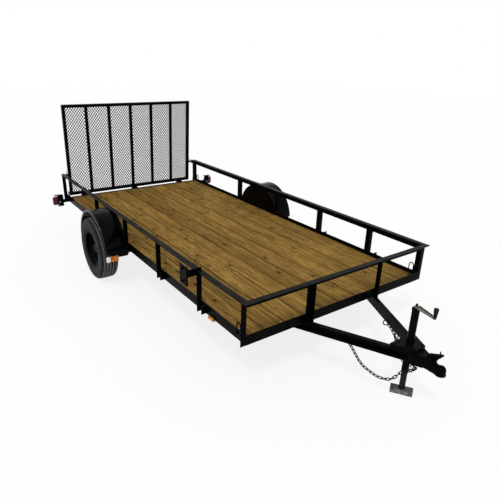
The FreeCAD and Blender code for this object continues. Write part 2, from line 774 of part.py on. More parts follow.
# Gate latches: a sleeve on each side of the gate and the catch plate at the end of the rail
LATCH_BELOW_RAIL = 28.0
SLEEVE_LENGTH = 40.0
SLEEVE_RADIUS = 13.0
SLEEVE_BORE = 8.0
CATCH_BORE = 9.0
CATCH_TALL = 50.0
CATCH_REACH = 56.0
latch_z = rail_top - LATCH_BELOW_RAIL
latch_x = rear_x - size("gate_gap") - size("gate_tube") / 2


def latch_sleeve():
    """The right latch sleeve, bored across the trailer, on the outside of the gate."""
    place = (latch_x, -gate_half - SLEEVE_LENGTH, latch_z)
    sleeve = bar(SLEEVE_RADIUS, SLEEVE_LENGTH, *place, Y_AXIS)
    return leaned(sleeve.cut(bar(SLEEVE_BORE, SLEEVE_LENGTH, *place, Y_AXIS)))


def latch_catch():
    """The plate behind the right rear post that takes the latch pin."""
    wall = size("rail_wall")
    catch = plate(CATCH_REACH, wall, CATCH_TALL, rear_x - CATCH_REACH, -side_y, latch_z - CATCH_TALL / 2)
    hole = leaned(bar(CATCH_BORE, 3 * wall, latch_x, -side_y - wall, latch_z, Y_AXIS))
    return catch.cut(hole)


sleeve_right = made("latch_sleeve", latch_sleeve())
node(group("latch_sleeve_pair", [sleeve_right, mirrored(sleeve_right, "latch_sleeve_left")]), "gate_latches")
catch_right = made("latch_catch", latch_catch())
node(group("latch_catch_pair", [catch_right, mirrored(catch_right, "latch_catch_left")]), "gate_catches")

# Coupler: a pressing that straddles the drawbar, with a neck that slopes to a dome over the ball
COUPLER_WALL = 5.0
COUPLER_LOW = 12.0
COUPLER_BACK = 215.0
COUPLER_FRONT = 115.0
NECK_HALF = 32.0
NECK_DROP = 38.0
NECK_SLOPE = 70.0
SKIRT_LIFT = 7.0
DOME_RADIUS = 36.0
DOME_ABOVE = 30.0
BALL_RADIUS = 30.0
LIP_TALL = 8.0
coupler_back = ball_x - COUPLER_BACK
coupler_front = ball_x - COUPLER_FRONT
coupler_low = tongue_low - COUPLER_LOW
coupler_high = tongue_top + COUPLER_WALL
dome_low = coupler_low + SKIRT_LIFT
dome_z = tongue_low + DOME_ABOVE


def tongue_outer(x):
    """Distance of the drawbar's outer faces from the middle plane."""
    return tongue_half + tongue_wide / 2 - tongue_slope * (x - front_x)


def straddle(inset, low, high, beyond):
    """The coupler's rear part, following the outer faces of the channels."""
    back = coupler_back - beyond
    back_y = tongue_outer(back) + COUPLER_WALL - inset
    return slab([(back, -back_y, low), (coupler_front, inset - NECK_HALF, low),
                 (coupler_front, NECK_HALF - inset, low), (back, back_y, low)], (0, 0, high - low))


def neck(inset):
    """The sloping neck between the straddling part and the dome."""
    start = coupler_front - inset
    corners = [(start, dome_low - inset), (start, coupler_high - inset),
               (coupler_front, coupler_high - inset),
               (coupler_front + NECK_SLOPE, coupler_high - NECK_DROP - inset),
               (ball_x, coupler_high - NECK_DROP - inset), (ball_x, dome_low - inset)]
    return slab([(x, inset - NECK_HALF, z) for x, z in corners], (0, 2 * (NECK_HALF - inset), 0))


def coupler_shape():
    """The coupler as one pressing, hollow from below, with a socket for the ball."""
    skin = COUPLER_WALL
    dome = Part.makeSphere(DOME_RADIUS, FreeCAD.Vector(ball_x, 0, dome_z))
    below = plate(4 * DOME_RADIUS, 4 * DOME_RADIUS, 4 * DOME_RADIUS, ball_x - 2 * DOME_RADIUS,
                  -2 * DOME_RADIUS, dome_z - 4 * DOME_RADIUS)
    skirt = bar(DOME_RADIUS, dome_z - dome_low, ball_x, 0, dome_low, Z_AXIS)
    lip = bar(BALL_TO_NOSE, LIP_TALL, ball_x, 0, dome_low, Z_AXIS)
    outer = straddle(0, coupler_low, coupler_high, 0).fuse([neck(0), dome.cut(below), skirt, lip])
    socket = bar(BALL_RADIUS, dome_z - dome_low, ball_x, 0, dome_low, Z_AXIS)
    crown = Part.makeSphere(BALL_RADIUS, FreeCAD.Vector(ball_x, 0, dome_z))
    inner = straddle(skin, coupler_low, tongue_top, skin).fuse([neck(skin), socket, crown])
    return outer.cut(inner)


def without(shape, *others):
    """A shape less the solids that it straddles."""
    for other in others:
        shape = shape.cut(other)
    return shape


doc.recompute()
coupler = without(coupler_shape(), tongue_right.Shape, nodes["tongue_left"].Shape)
node(made("coupler_shape", coupler), "coupler")

LATCH_BACK = 105.0
LATCH_LONG = 60.0
LATCH_HALF = 15.0
LATCH_TALL = 26.0
LEVER_HALF = 9.0
LEVER_REACH = 44.0
LEVER_RISE = 70.0
LEVER_WALL = 12.0


def neck_top(x):
    """Height of the sloping neck at a place along the trailer."""
    return coupler_high - NECK_DROP * (x - coupler_front) / NECK_SLOPE


def latch_lever():
    """The coupler's latch: a block on the neck, a rising lever and the pin across it."""
    start = ball_x - LATCH_BACK
    end = start + LATCH_LONG
    up = coupler_high + LATCH_TALL
    base = slab([(start, -LATCH_HALF, neck_top(start)), (end, -LATCH_HALF, neck_top(end)),
                 (end, -LATCH_HALF, coupler_high), (start, -LATCH_HALF, up)], (0, 2 * LATCH_HALF, 0))
    tip = end + LEVER_REACH
    lever = slab([(start, -LEVER_HALF, coupler_high), (end, -LEVER_HALF, coupler_high),
                  (tip, -LEVER_HALF, coupler_high + LEVER_RISE - LEVER_WALL),
                  (tip - LEVER_WALL / 2, -LEVER_HALF, coupler_high + LEVER_RISE),
                  (start, -LEVER_HALF, up)], (0, 2 * LEVER_HALF, 0))
    pin = bar(LEVER_WALL / 3, 4 * LATCH_HALF, start + LATCH_LONG / 2, -2 * LATCH_HALF,
              coupler_high + LEVER_WALL / 2, Y_AXIS)
    return base.fuse([lever, pin])


node(made("latch_lever", latch_lever()), "coupler_latch")

# Jack: an upright tube on a plate on the drawbar, a sliding leg with a foot, and a top crank
jack_x = ball_x - size("jack_behind_ball")
PLATE_BACK = 73.0
TRAY_BACK = 75.0
TRAY_FRONT = 92.0
TRAY_TALL = 28.0
TRAY_WALL = 5.0
RING_LOW = 29.0
RING_TALL = 7.0
RING_OUT = 7.0
HEAD_OUT = 3.0
HEAD_TALL = 14.0
CAP_TALL = 8.0
CAP_RADIUS = 12.0
tray_low = coupler_high


def across_tongue(back, front, low, tall, inset=0.0):
    """A plate across both channels that ends at their outer faces."""
    corners = [(back, -tongue_outer(back) + inset, low), (front, -tongue_outer(front) + inset, low),
               (front, tongue_outer(front) - inset, low), (back, tongue_outer(back) - inset, low)]
    return slab(corners, (0, 0, tall))


def jack_plate_shape():
    """The plate over both channels, bored for the jack tube."""
    plain = across_tongue(jack_x - PLATE_BACK, coupler_back, tongue_top, COUPLER_WALL)
    return plain.cut(bar(size("jack_radius"), COUPLER_WALL, jack_x, 0, tongue_top, Z_AXIS))


def jack_tube_shape():
    """The outer tube with its mounting tray, its ring and the domed gear head."""
    outer = size("jack_radius")
    inner = outer - size("jack_wall")
    low = size("jack_tube_low")
    top = size("jack_top")
    back = jack_x - TRAY_BACK
    front = jack_x + TRAY_FRONT
    tray = across_tongue(back, front, tray_low, TRAY_TALL)
    tray = tray.cut(across_tongue(back + TRAY_WALL, front - TRAY_WALL, tray_low, TRAY_TALL - TRAY_WALL,
                                  TRAY_WALL))
    tube = bar(outer, top - low, jack_x, 0, low, Z_AXIS)
    ring = bar(outer + RING_OUT, RING_TALL, jack_x, 0, tray_low + TRAY_TALL + RING_LOW, Z_AXIS)
    head = bar(outer + HEAD_OUT, HEAD_TALL, jack_x, 0, top, Z_AXIS)
    cap = Part.makeCone(outer + HEAD_OUT, CAP_RADIUS, CAP_TALL, FreeCAD.Vector(jack_x, 0, top + HEAD_TALL))
    bore = bar(inner, top - low - TRAY_WALL, jack_x, 0, low, Z_AXIS)
    return tube.fuse([tray, ring, head, cap]).cut(bore)


LEG_WALL = 4.0
LEG_TALL = 420.0
FOOT_WALL = 5.0
FOOT_TURN = 33.0
FOOT_HOLE = 7.0


def jack_leg_shape():
    """The sliding leg, welded to a foot of channel with its open side down."""
    radius = size("jack_radius") - size("jack_wall") - size("slide_clear")
    long = size("foot_length")
    wide = size("foot_width")
    tall = size("foot_height")
    web = tall - FOOT_WALL
    leg = bar(radius, LEG_TALL, jack_x, 0, web, Z_AXIS)
    leg = leg.cut(bar(radius - LEG_WALL, LEG_TALL, jack_x, 0, tall, Z_AXIS))
    foot = plate(long, wide, tall, jack_x - long / 2, -wide / 2, 0)
    foot = foot.cut(plate(long, wide - 2 * FOOT_WALL, web, jack_x - long / 2, FOOT_WALL - wide / 2, 0))
    hole = bar(FOOT_HOLE, 2 * wide, jack_x + long / 2 - 3 * FOOT_HOLE, -wide, web / 2, Y_AXIS)
    foot = foot.cut(hole)
    foot.rotate(FreeCAD.Vector(jack_x, 0, 0), Z_AXIS, FOOT_TURN)
    return leg.fuse(foot)


CRANK_REACH = 175.0
CRANK_TURN = -13.0
CRANK_WIDE = 36.0
CRANK_NARROW = 20.0
CRANK_WALL = 6.0
BOSS_RADIUS = 9.0
BOSS_TALL = 9.0
STUB_RADIUS = 5.0
STUB_TALL = 78.0
GRIP_TALL = 72.0
GRIP_TOP = 17.0
GRIP_LOW = 10.0
GRIP_CLEAR = 0.5
crank_z = size("jack_top") + HEAD_TALL + CAP_TALL


def swivelled(shape):
    """A shape drawn with the crank straight ahead, turned about the jack to where it points."""
    shape.rotate(FreeCAD.Vector(jack_x, 0, 0), Z_AXIS, CRANK_TURN)
    return shape


def crank_shape():
    """The tapered flat arm with a boss over the jack's shaft and a stub for the grip."""
    end_x = jack_x + CRANK_REACH
    arm = slab([(jack_x, -CRANK_WIDE / 2, crank_z), (end_x, -CRANK_NARROW / 2, crank_z),
                (end_x, CRANK_NARROW / 2, crank_z), (jack_x, CRANK_WIDE / 2, crank_z)], (0, 0, CRANK_WALL))
    ends = [bar(CRANK_WIDE / 2, CRANK_WALL, jack_x, 0, crank_z, Z_AXIS),
            bar(CRANK_NARROW / 2, CRANK_WALL, end_x, 0, crank_z, Z_AXIS)]
    boss = bar(BOSS_RADIUS, BOSS_TALL, jack_x, 0, crank_z + CRANK_WALL, Z_AXIS)
    stub = bar(STUB_RADIUS, STUB_TALL, end_x, 0, crank_z + CRANK_WALL, Z_AXIS)
    return swivelled(arm.fuse(ends + [boss, stub]))


def grip_shape():
    """The tapered grip that turns on the crank's stub."""
    low = crank_z + CRANK_WALL
    place = FreeCAD.Vector(jack_x + CRANK_REACH, 0, low)
    grip = Part.makeCone(GRIP_LOW, GRIP_TOP, GRIP_TALL, place)
    return swivelled(grip.cut(Part.makeCylinder(STUB_RADIUS + GRIP_CLEAR, GRIP_TALL, place)))


node(made("jack_plate_shape", jack_plate_shape()), "jack_plate")
node(made("jack_tube_shape", jack_tube_shape()), "jack_tube")
node(made("jack_leg_shape", jack_leg_shape()), "jack_leg")
node(made("crank_shape", crank_shape()), "jack_crank")
node(made("grip_shape", grip_shape()), "crank_grip")

# Spare wheel carrier on the right rail, ahead of the fender
CARRIER_OUT = 95.0
CARRIER_PLATE = 100.0
CARRIER_WALL = 6.0
CARRIER_FOLD = 14.0
ARM_TALL = 62.0
ARM_ABOVE = 28.0
PLATE_TALL = 164.0
PLATE_ABOVE = 57.0
CARRIER_BORE = 7.0
BORE_INSET = 28.0
post_x = front_x - size("post_first")


def carrier_shape():
    """An arm notched over the rail and the folded upright plate that the spare wheel bolts to."""
    arm_in = side_y + size("post_wall")
    plate_y = -rail_out - CARRIER_OUT
    arm = plate(CARRIER_WALL, -arm_in - plate_y, ARM_TALL, post_x, plate_y, rail_top + ARM_ABOVE - ARM_TALL)
    notch = plate(CARRIER_WALL, rail_out, size("rail_wall"), post_x, -rail_out, rail_top - size("rail_wall"))
    low = rail_top + PLATE_ABOVE - PLATE_TALL
    upright = plate(CARRIER_PLATE + CARRIER_WALL, CARRIER_WALL, PLATE_TALL, post_x - CARRIER_PLATE, plate_y, low)
    fold = plate(CARRIER_WALL, CARRIER_FOLD, PLATE_TALL, post_x, plate_y, low)
    holes = [bar(CARRIER_BORE, CARRIER_WALL, post_x - CARRIER_PLATE / 2, plate_y, z, Y_AXIS)
             for z in (low + BORE_INSET, low + PLATE_TALL - BORE_INSET)]
    return upright.cut(Part.makeCompound(holes)).fuse([arm.cut(notch), fold])


node(made("carrier_shape", carrier_shape()), "spare_carrier")

# Lamps: a tail lamp on each side, held out behind an angle, and amber markers
LAMP_AHEAD = 192.0
LAMP_OUT = 228.0
LAMP_WIDE = 130.0
LAMP_TALL = 150.0
LAMP_DEEP = 45.0
LAMP_WALL = 5.0
LAMP_BELOW = 21.0
LAMP_LAP = 22.0
ARM_UP = 45.0
MARKER_LONG = 80.0
MARKER_TALL = 32.0
MARKER_DEEP = 22.0
MARKER_BELOW = 13.0
MARKER_AHEAD = 45.0
END_MARKER_WIDE = 126.0
END_MARKER_TALL = 62.0
END_MARKER_OUT = 242.0
END_MARKER_BELOW = 82.0
lamp_x = rear_x + LAMP_AHEAD
lamp_out = side_y + LAMP_OUT
lamp_low = frame_low - LAMP_BELOW


def lamp_bracket():
    """The angle that holds the right tail lamp out from the frame."""
    arm = plate(LAMP_WALL, lamp_out - side_y - LAMP_LAP, ARM_UP, lamp_x, -lamp_out + LAMP_LAP, lamp_low + ARM_UP)
    front = plate(LAMP_WALL, LAMP_WIDE - LAMP_LAP, LAMP_TALL, lamp_x, -lamp_out + LAMP_LAP, lamp_low)
    roof = plate(LAMP_DEEP, LAMP_WIDE - LAMP_LAP, LAMP_WALL, lamp_x - LAMP_DEEP + LAMP_WALL,
                 -lamp_out + LAMP_LAP, lamp_low + LAMP_TALL - LAMP_WALL)
    return arm.fuse([front, roof])


def tail_lens():
    """The red lens of the right tail lamp, which also shows past the bracket's outer edge."""
    return plate(LAMP_DEEP, LAMP_WIDE - 2 * LAMP_WALL, LAMP_TALL - 2 * LAMP_WALL, lamp_x - LAMP_DEEP,
                 -lamp_out, lamp_low)


bracket_right = made("lamp_bracket", lamp_bracket())
node(group("lamp_bracket_pair", [bracket_right, mirrored(bracket_right, "lamp_bracket_left")]),
     "lamp_brackets")
lens_right = made("tail_lens_shape", tail_lens())
node(group("tail_lens_pair", [lens_right, mirrored(lens_right, "tail_lens_left")]), "tail_lenses")
marker_x = post_x + size("pocket_ahead") + MARKER_AHEAD
side_marker = made("side_marker", plate(MARKER_LONG, MARKER_DEEP, MARKER_TALL, marker_x,
                                        -side_y - MARKER_DEEP, frame_low - MARKER_BELOW))
end_marker = made("fender_marker", plate(MARKER_DEEP, END_MARKER_WIDE, END_MARKER_TALL,
                                         axle_x + fender_chord, -side_y - END_MARKER_OUT,
                                         fender_low - END_MARKER_BELOW))
node(group("marker_set", [side_marker, mirrored(side_marker, "side_marker_left"), end_marker,
                          mirrored(end_marker, "fender_marker_left")]), "side_markers")

# Tie-down loops: a bent rod near each corner that stands up from the side of the frame
LOOP_BAR = 5.0
LOOP_RADIUS = 23.0
LOOP_RISE = 42.0
LOOP_FOOT = 40.0
LOOP_FRONT = 85.0
LOOP_REAR = 150.0


def loop_shape(x):
    """A half-round loop on two legs that are welded to the outside of the right side member."""
    y = -side_y - LOOP_BAR
    top = frame_top + LOOP_RISE
    low = frame_top - LOOP_FOOT
    ring = Part.makeTorus(LOOP_RADIUS, LOOP_BAR, FreeCAD.Vector(x, y, top), Y_AXIS)
    upper = plate(4 * LOOP_RADIUS, 4 * LOOP_BAR, 2 * LOOP_RADIUS, x - 2 * LOOP_RADIUS, y - 2 * LOOP_BAR, top)
    legs = [bar(LOOP_BAR, top - low, x + way * LOOP_RADIUS, y, low, Z_AXIS) for way in (-1, 1)]
    return ring.common(upper).fuse(legs)


loops = []
for tag, x in (("front", front_x - LOOP_FRONT), ("rear", rear_x + LOOP_REAR)):
    right = made("loop_" + tag, loop_shape(x))
    loops += [right, mirrored(right, "loop_%s_left" % tag)]
node(group("loop_set", loops), "tie_down_loops")

# Safety chains: links of square bar, each turned a quarter turn against the one before it
LINK_BAR = 7.0
LINK_LONG = 46.0
LINK_WIDE = 25.0
LINK_CORNER = 8.0
LINK_PITCH = LINK_LONG - 2 * LINK_BAR


def link_ring(long, wide, corner):
    """A flat slab with cut corners, as thick as the link's bar."""
    a = long / 2
    b = wide / 2
    corners = [(-a, corner - b), (corner - a, -b), (a - corner, -b), (a, corner - b),
               (a, b - corner), (a - corner, b), (corner - a, b), (-a, b - corner)]
    return slab([(x, y, -LINK_BAR / 2) for x, y in corners], (0, 0, LINK_BAR))


def link_shape():
    """One chain link along X, centred, with cut corners."""
    hole = link_ring(LINK_LONG - 2 * LINK_BAR, LINK_WIDE - 2 * LINK_BAR, LINK_CORNER / 2)
    return link_ring(LINK_LONG, LINK_WIDE, LINK_CORNER).cut(hole)


def curve_points(route, step):
    """Evenly spaced points and directions along a smooth curve through a few points."""
    curve = Part.BSplineCurve()
    curve.interpolate([FreeCAD.Vector(*p) for p in route])
    count = int(curve.length() / step)
    places = []
    for index in range(count + 1):
        along = curve.parameterAtDistance(index * step, curve.FirstParameter)
        places.append((curve.value(along), FreeCAD.Vector(*curve.tangent(along)[0])))
    return places


CHAIN_BACK = 620.0
CHAIN_IN = 35.0
RIGHT_SEAT = 15.7
LEFT_SEAT = 12.9


def on_channel(side, drop):
    """Where a chain starts, under the right (-1) or left (1) channel of the drawbar."""
    x = ball_x - CHAIN_BACK
    return (x, side * (tongue_outer(x) - CHAIN_IN), tongue_low - drop)


right_route = [
    on_channel(-1, RIGHT_SEAT),
    (ball_x - 580, -226, tongue_low - 56),
    (ball_x - 547, -204, tongue_low - 117),
    (ball_x - 507, -178, tongue_low - 172),
    (ball_x - 461, -148, tongue_low - 206),
    (ball_x - 430, -129, tongue_low - 226),
    (ball_x - 368, -106, tongue_low - 230),
    (ball_x - 313, -94, tongue_low - 204),
    (ball_x - 286, -80, tongue_low - 173),
    (ball_x - 267, -68, tongue_low - 134),
]
left_route = [
    on_channel(1, LEFT_SEAT),
    (ball_x - 572, 224, tongue_low - 40),
    (ball_x - 520, 204, tongue_low - 78),
    (ball_x - 455, 160, tongue_low - 122),
    (ball_x - 390, 118, tongue_low - 142),
    (ball_x - 340, 88, tongue_low - 147),
    (ball_x - 300, 66, tongue_low - 130),
]


def chain_shape(route):
    """A safety chain from the drawbar to its end beside the jack."""
    links = []
    one = link_shape()
    for index, (place, way) in enumerate(curve_points(route, LINK_PITCH)):
        link = one.copy()
        turn = FreeCAD.Rotation(X_AXIS, 90 * (index % 2))
        aim = FreeCAD.Rotation(X_AXIS, way)
        link.Placement = FreeCAD.Placement(place, aim.multiply(turn))
        links.append(link)
    return Part.makeCompound(links)


node(made("chain_right_shape", chain_shape(right_route)), "chain_right")
node(made("chain_left_shape", chain_shape(left_route)), "chain_left")

# Checks and export
doc.recompute()
for obj in doc.Objects:
    if "Invalid" in obj.State or "Error" in obj.State:
        raise RuntimeError("failed object: %s %s" % (obj.Name, obj.State))
os.makedirs("parts", exist_ok=True)
for name, obj in nodes.items():
    shape = obj.Shape
    if shape.isNull() or not shape.isValid() or not shape.Solids:
        raise RuntimeError("bad shape: " + name)
    shape.exportStep("parts/%s.step" % name)
    box = shape.BoundBox
    print("%-22s solids %2d  x %.0f..%.0f  y %.0f..%.0f  z %.0f..%.0f" % (
        name, len(shape.Solids), box.XMin, box.XMax, box.YMin, box.YMax, box.ZMin, box.ZMax))
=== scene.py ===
import json
import math

import bmesh
import bpy
from mathutils import Matrix, Vector


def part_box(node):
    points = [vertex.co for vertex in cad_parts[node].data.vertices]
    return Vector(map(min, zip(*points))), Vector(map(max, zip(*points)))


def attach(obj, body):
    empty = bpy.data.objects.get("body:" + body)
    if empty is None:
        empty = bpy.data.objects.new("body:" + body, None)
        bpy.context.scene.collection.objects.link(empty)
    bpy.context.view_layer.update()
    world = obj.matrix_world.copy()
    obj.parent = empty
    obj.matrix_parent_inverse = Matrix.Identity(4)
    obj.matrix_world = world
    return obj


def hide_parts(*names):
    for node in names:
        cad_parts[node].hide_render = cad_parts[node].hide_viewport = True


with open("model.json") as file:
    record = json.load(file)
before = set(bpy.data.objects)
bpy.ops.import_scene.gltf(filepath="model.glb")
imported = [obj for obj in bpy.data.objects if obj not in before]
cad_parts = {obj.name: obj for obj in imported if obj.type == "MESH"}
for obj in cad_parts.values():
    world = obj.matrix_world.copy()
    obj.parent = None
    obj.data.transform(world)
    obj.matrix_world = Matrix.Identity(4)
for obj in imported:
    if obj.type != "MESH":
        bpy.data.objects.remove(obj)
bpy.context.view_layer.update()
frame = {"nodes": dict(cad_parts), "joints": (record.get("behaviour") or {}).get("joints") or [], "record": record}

# A single-axle utility trailer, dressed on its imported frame. Metres, +X forward, +Y left, +Z up.
X_AXIS = Vector((1, 0, 0))
Y_AXIS = Vector((0, 1, 0))
Z_AXIS = Vector((0, 0, 1))
SIDES = (-1, 1)
SIDE_NAMES = (("right", -1), ("left", 1))

# The photograph's camera, solved from the trailer's straight edges
FOCAL_PX = 472
PICTURE = 500
SENSOR = 36
AZIMUTH = math.radians(53.396)
ELEVATION = math.radians(22.411)
ROLL = math.radians(1.8)
EYE = Vector((3.976, -2.684, 2.33))


def add_object(name, data):
    obj = bpy.data.objects.new(name, data)
    bpy.context.scene.collection.objects.link(obj)
    return obj


def make_camera():
    """A camera with no shift, turned by azimuth, elevation and roll."""
    back = Vector((math.sin(AZIMUTH) * math.cos(ELEVATION), -math.cos(AZIMUTH) * math.cos(ELEVATION),
                   math.sin(ELEVATION)))
    right = Z_AXIS.cross(back).normalized()
    up = back.cross(right)
    right_rolled = right * math.cos(ROLL) + up * math.sin(ROLL)
    up_rolled = up * math.cos(ROLL) - right * math.sin(ROLL)
    data = bpy.data.cameras.new("camera")
    data.sensor_width = SENSOR
    data.lens = FOCAL_PX / PICTURE * SENSOR
    camera = add_object("camera", data)
    axes = Matrix((right_rolled, up_rolled, back)).transposed().to_4x4()
    camera.matrix_world = Matrix.Translation(EYE) @ axes
    bpy.context.scene.camera = camera


make_camera()


# Materials
def join(tree, socket, value):
    """Give a socket a value, a colour or another node's output."""
    if isinstance(value, bpy.types.NodeSocket):
        tree.links.new(value, socket)
    elif socket.type == "RGBA":
        socket.default_value = (*value, 1)
    else:
        socket.default_value = value


def add_node(tree, kind, inputs=None, **settings):
    """A node with its settings, and its inputs joined or set."""
    node = tree.nodes.new(kind)
    for key, value in settings.items():
        setattr(node, key, value)
    for key, value in (inputs or {}).items():
        join(tree, node.inputs[key], value)
    return node


class Look:
    """A material, with short ways to add nodes to it."""

    def __init__(self, name, rough, gloss=0.5, metal=0):
        self.material = bpy.data.materials.new(name)
        self.material.use_nodes = True
        self.tree = self.material.node_tree
        self.shader = self.tree.nodes["Principled BSDF"]
        self.set("Roughness", rough)
        self.set("Specular IOR Level", gloss)
        self.set("Metallic", metal)
        coordinates = self.add("ShaderNodeTexCoord")
        self.place = coordinates.outputs["Object"]
        self.normal = coordinates.outputs["Normal"]

    def set(self, name, value):
        join(self.tree, self.shader.inputs[name], value)

    def add(self, kind, inputs=None, **settings):
        return add_node(self.tree, kind, inputs, **settings)

    def vector(self, operation, first, second=(0, 0, 0), output="Vector"):
        return self.add("ShaderNodeVectorMath", {0: first, 1: second}, operation=operation).outputs[output]

    def noise(self, scale, detail, source=None):
        inputs = {"Vector": source or self.place, "Scale": scale, "Detail": detail}
        return self.add("ShaderNodeTexNoise", inputs).outputs["Fac"]

    def streaks(self, place, detail, stretch):
        """Noise with its own scale along each axis."""
        return self.noise(1, detail, self.vector("MULTIPLY", place, stretch))

    def math(self, operation, first, second=0, third=0):
        return self.add("ShaderNodeMath", {0: first, 1: second, 2: third}, operation=operation).outputs[0]

    def times(self, first, second):
        return self.math("MULTIPLY", first, second)

    def ramp(self, value, low, high, start=0, end=1):
        """A number that goes smoothly from start to end while value goes from low to high."""
        inputs = {"Value": value, "From Min": low, "From Max": high, "To Min": start, "To Max": end}
        return self.add("ShaderNodeMapRange", inputs, interpolation_type="SMOOTHSTEP").outputs[0]

    def uneven(self, scale, detail, low, high, start=0, end=1):
        """Noise over the piece, drawn out between two numbers."""
        return self.ramp(self.noise(scale, detail), low, high, start, end)

    def rings(self, place, rate, low):
        """Bands that come back at a steady rate."""
        return self.ramp(self.math("SINE", self.times(place, rate)), low, 1)

    def mix(self, factor, first, second):
        return self.add("ShaderNodeMix", {0: factor, 6: first, 7: second}, data_type="RGBA").outputs[2]

    def streaked(self, colour, place, detail, stretch, low, high, most, tone):
        """Streaks of a tone laid over a colour."""
        return self.mix(self.ramp(self.streaks(place, detail, stretch), low, high, 0, most), colour, tone)

    def part(self, vector, axis):
        """One coordinate of a vector."""
        return self.add("ShaderNodeSeparateXYZ", {0: vector}).outputs[axis]

    def raise_by(self, height, strength, distance, normal=None):
        """Raise the surface by a height, as a bump, over a given normal if there is one."""
        inputs = {"Height": height, "Strength": strength, "Distance": distance}
        if normal is not None:
            inputs["Normal"] = normal
        self.set("Normal", self.add("ShaderNodeBump", inputs).outputs["Normal"])

    def roughen(self, scale, detail, strength, distance, normal=None):
        """Raise the surface by fine noise."""
        self.raise_by(self.noise(scale, detail), strength, distance, normal)


# Unevenness of the paint: the noise's scale and detail, and the range of it that is drawn out
PAINT_TONE = (6, 5, 0.35, 0.7)
PAINT_GLOSS = (23, 4, 0.3, 0.75)
DUST_AND_LIGHT_CLOUDS = (11, 6, 0.3, 0.75, 0.3, 1)
EDGE_WEAR_AND_GLINT = (34, 6, 0.48, 0.66)
# Fine grain: the noise's scale and detail, and the bump's strength and height
PAINT_GRAIN = (650, 2, 0.12, 0.0004)
RUBBER_GRAIN = (900, 2, 0.2, 0.0004)
ZINC_GRAIN = (420, 3, 0.15, 0.0003)
LEG_GRAIN = (380, 3, 0.15, 0.0003)
PLASTIC_GRAIN = (1300, 2, 0.25, 0.0003)

EDGE_RADIUS = 0.0022
EDGE_TURN = (0.98, 0.85)
EDGE_SHOWS = 0.45
# Faces turned up get dust and painted light, which makes them lighter
FACING_UP = (0.965, 0.995)
DUST_AND_LIGHT_TONE = (0.026, 0.025, 0.024)
# Edges get bare metal and a painted highlight
BARE_AND_LIT_EDGE = (0.045, 0.044, 0.042)


def painted(name, dark, light, rough, gloss, edges=True, dust_and_light_share=0.6):
    """Sprayed steel: uneven gloss, dust and painted light on what faces up, and a worn line with a painted
    highlight along the edges.
    """
    look = Look(name, rough, gloss)
    colour = look.mix(look.uneven(*PAINT_TONE), dark, light)
    # Dust and painted light: faces turned up are made lighter in patches
    upward = look.ramp(look.part(look.normal, "Z"), *FACING_UP)
    dust_and_top_light = look.times(look.times(upward, look.uneven(*DUST_AND_LIGHT_CLOUDS)), dust_and_light_share)
    colour = look.mix(dust_and_top_light, colour, DUST_AND_LIGHT_TONE)
    look.set("Roughness", look.uneven(*PAINT_GLOSS, rough - 0.07, rough + 0.1))
    rounded = None
    if edges:
        rounded = look.add("ShaderNodeBevel", {"Radius": EDGE_RADIUS}, samples=4).outputs["Normal"]
        flat = look.add("ShaderNodeNewGeometry").outputs["Normal"]
        edge = look.ramp(look.vector("DOT_PRODUCT", rounded, flat, "Value"), *EDGE_TURN)
        # Bare metal and a painted highlight along the edges
        worn_and_lit = look.times(edge, look.uneven(*EDGE_WEAR_AND_GLINT))
        colour = look.mix(look.times(worn_and_lit, EDGE_SHOWS), colour, BARE_AND_LIT_EDGE)
    look.roughen(*PAINT_GRAIN, rounded)
    look.set("Base Color", colour)
    return look.material


PLANK_PITCH = 0.1974
DECK_HALF = 0.985
PLANK_MIDDLE = 0.49
PLANK_SHIFT = (37, 3, 5)
PLANK_TINT = (0.86, 1.14)
WOOD_LIGHT = (0.345, 0.207, 0.048)
WOOD_MIDDLE = (0.24, 0.137, 0.03)
WOOD_BROWN = (0.11, 0.059, 0.013)
WOOD_DARK = (0.072, 0.036, 0.009)
WOOD_PALE = (0.44, 0.29, 0.08)
WOOD_ORANGE = (0.285, 0.125, 0.023)
# Near black, for cracks, knots and the painted shade along the seams
WOOD_CRACK_AND_SHADE = (0.02, 0.01, 0.004)
# Streaks in the wood: the noise's detail, its scale along, across and up, the range of it that is drawn out,
# the most that shows, and the tone
UNDER_TONES = ((4, (1.5, 17, 17), 0.3, 0.7, 1, WOOD_LIGHT),
               (3, (2.6, 85, 85), 0.44, 0.62, 0.8, WOOD_BROWN))
OVER_TONES = ((4, (10, 48, 48), 0.5, 0.66, 0.5, WOOD_BROWN),
              (4, (10, 48, 48), 0.44, 0.3, 0.4, WOOD_PALE),
              (5, (7, 300, 300), 0.5, 0.75, 0.5, WOOD_PALE),
              (3, (1.4, 3.5, 3.5), 0.44, 0.74, 0.45, WOOD_BROWN),
              (3, (2.2, 7, 7), 0.6, 0.78, 0.45, WOOD_ORANGE))
FIBRE = (5, (7, 300, 300))
FIBRE_GLOSS = (0.3, 0.7, 0.72, 0.88)
FADING = (2, (1.1, 9, 9))
FADED = (0.35, 0.62, 0.15, 0.75)
# Knots: the cells' size, how many cells hold one, and how far its core, halo and pull on the grain reach
KNOT_CELLS = (3.4, 6, 1)
KNOT_SPREAD = 0.9
KNOT_RARE = (0.66, 0.7)
KNOT_CORE = (0.105, 0.05)
KNOT_HALO = (0.3, 0.08)
KNOT_PULL = (0.5, 0)
PULL_WIDE = 0.04
# Growth rings: how they bend along the board, their rates, and where a band begins
RING_BEND = (2, (0.55, 5, 5))
BEND_WIDE = 0.16
FINE_RINGS = (330, 0.1)
WIDE_RINGS = (145, 0.72)
FINE_SHARE = 0.6
# Drying cracks: where noise passes its middle, and only in some places
CRACKS = (2, (0.9, 30, 30))
NOISE_MIDDLE = 0.5
CRACK_THIN = (0.022, 0.004)
CRACK_PLACES = (2.1, 2)
CRACK_SOME = (0.5, 0.6)
